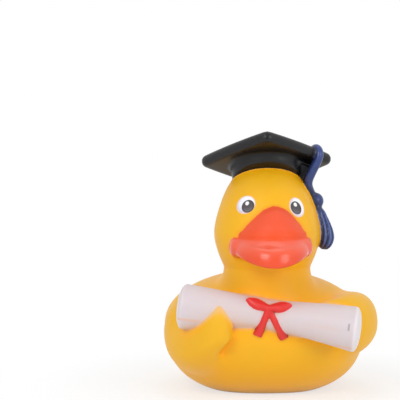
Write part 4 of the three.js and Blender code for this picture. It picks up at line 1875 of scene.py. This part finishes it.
    def _hollow(self, skin: bpy.types.Object) -> None:
        """Takes out the hollow and the air hole in the foot.

        Args:
            skin: The skin.
        """
        maker, hull, head = self.maker, Hull(), Head()
        for tool in (hull.solid(maker.wall, 40, 48), head.solid(hull, maker.wall, 24, 36)):
            tool.points[:, 2] = np.maximum(tool.points[:, 2], maker.wall)
            self._cut(skin, tool)
        x, y = maker.air_hole_radius * np.cos(turns(48)), maker.air_hole_radius * np.sin(turns(48))
        self._cut(skin, loft(np.array([ring(x, y, z) for z in (-maker.wall, 2 * maker.wall)])))

    def _cut(self, skin: bpy.types.Object, solid: Solid) -> None:
        """Cuts a form out of the skin.

        Args:
            skin: The skin.
            solid: The form to cut out.
        """
        tool = place_in_scene("tool", solid.mesh("tool"))
        modify(skin, "BOOLEAN", operation="DIFFERENCE", solver="MANIFOLD", object=tool)
        bpy.data.objects.remove(tool)


# Floor, light and camera


@dataclass(frozen=True)
class Lamp:
    """A round soft box: its place and size in metres, and its power in watts."""

    name: str
    place: tuple[float, float, float]
    size: float
    power: float


@dataclass(frozen=True)
class Studio:
    """A white table and backdrop, soft light, and the photograph's camera."""

    picture: float = 400.0
    focal: float = 1315.0
    sensor: float = 36.0
    distance: float = 480.0
    azimuth: float = -4.0
    elevation: float = 6.0
    aim: tuple[float, float, float] = (0.0, -5.0, 45.0)
    aim_pixel: tuple[float, float] = (265.5, 266.0)
    table_half: float = 3000.0
    table_drop: float = 0.02
    shadow_from: float = 40.0
    shadow_to: float = 100.0
    shadow_share: float = 0.65
    room_strength: float = 0.6
    lamps: tuple[Lamp, ...] = (
        Lamp("key", (-0.40, -0.70, 0.55), 0.45, 2.6),
        Lamp("fill", (0.55, -0.60, 0.35), 0.45, 1.7),
        Lamp("top", (0.0, 0.1, 0.9), 0.6, 1.0),
    )

    def camera(self, shift: Array) -> None:
        """Places the camera as the photograph has it.

        Args:
            shift: From the duck's own frame to the part's.
        """
        a, e = math.radians(self.azimuth), math.radians(self.elevation)
        back = vec(math.sin(a) * math.cos(e), -math.cos(a) * math.cos(e), math.sin(e))
        right = unit(np.cross(vec(0, 0, 1), back))
        up = np.cross(back, right)
        aim = np.array(self.aim) + shift
        place = aim + back * self.distance
        per_pixel = self.distance / self.focal
        look = aim - right * (self.aim_pixel[0] - self.picture / 2) * per_pixel
        look = look + up * (self.aim_pixel[1] - self.picture / 2) * per_pixel
        data = bpy.data.cameras.new("camera")
        data.lens = self.focal / self.picture * self.sensor
        data.sensor_width = self.sensor
        data.clip_start = 0.01
        camera = place_in_scene("camera", data)
        self._point(camera, Vector(place * MM), Vector(look * MM))
        bpy.context.scene.camera = camera

    def _point(self, obj: bpy.types.Object, place: Vector, look: Vector) -> None:
        """Puts a camera or lamp in its place and points it.

        Args:
            obj: The camera or lamp.
            place: Where it stands, in metres.
            look: Where it looks.
        """
        obj.location = place
        obj.rotation_mode = "QUATERNION"
        obj.rotation_quaternion = (look - place).to_track_quat("-Z", "Y")

    def floor(self) -> None:
        """Makes the white table that the duck stands on, whose glow hides all but the duck's own shadow."""
        half = self.table_half
        corners = [(-half, -half, 0), (half, -half, 0), (half, half, 0), (-half, half, 0)]
        floor = place_in_scene("floor", Solid(np.array(corners, float), [(0, 1, 2, 3)]).mesh("floor"))
        floor.location.z = -self.table_drop * MM
        material = bpy.data.materials.new("white_table")
        nodes = Nodes(material)
        away = nodes.add(Kind.LENGTH, nodes.add(Kind.PLACE))
        far = nodes.add(Kind.RISE, away, self.shadow_from * MM, self.shadow_to * MM)
        share = nodes.add(Kind.TIMES, nodes.seen(), nodes.add(Kind.AMOUNT, far, self.shadow_share, 1.0))
        matt = nodes.add(Kind.MATT, linear(WHITE))
        glow = nodes.add(Kind.GLOW, linear(WHITE), 1.0)
        nodes.add(Kind.SURFACE, nodes.add(Kind.EITHER, share, matt, glow))
        floor.data.materials.append(material)

    def light(self) -> None:
        """Lights the duck from a soft box on each side and a bright room."""
        for lamp in self.lamps:
            data = bpy.data.lights.new(lamp.name, "AREA")
            data.shape = "DISK"
            data.size = lamp.size
            data.energy = lamp.power
            self._point(place_in_scene(lamp.name, data), Vector(lamp.place), Vector((0, 0, self.aim[2] * MM)))
        world = bpy.data.worlds.new("room")
        bpy.context.scene.world = world
        nodes = Nodes(world)
        room = nodes.add(Kind.SKY, linear(WHITE), self.room_strength)
        backdrop = nodes.add(Kind.SKY, linear(WHITE), 1.0)
        nodes.add(Kind.ROOM, nodes.add(Kind.EITHER, nodes.seen(), room, backdrop))


def main() -> None:
    """Builds the scene."""
    bpy.context.scene.view_settings.view_transform = "Standard"
    duck = Duck(CAD_BOX)
    LOG.info("shift: %s", duck.shift)
    skin = duck.build()
    LOG.info("skin: %d points, %d faces", len(skin.data.vertices), len(skin.data.polygons))
    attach(skin, BODY)
    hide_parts(NODE)
    studio = Studio()
    studio.floor()
    studio.light()
    studio.camera(duck.shift)


if __name__ == "__main__":
    main()
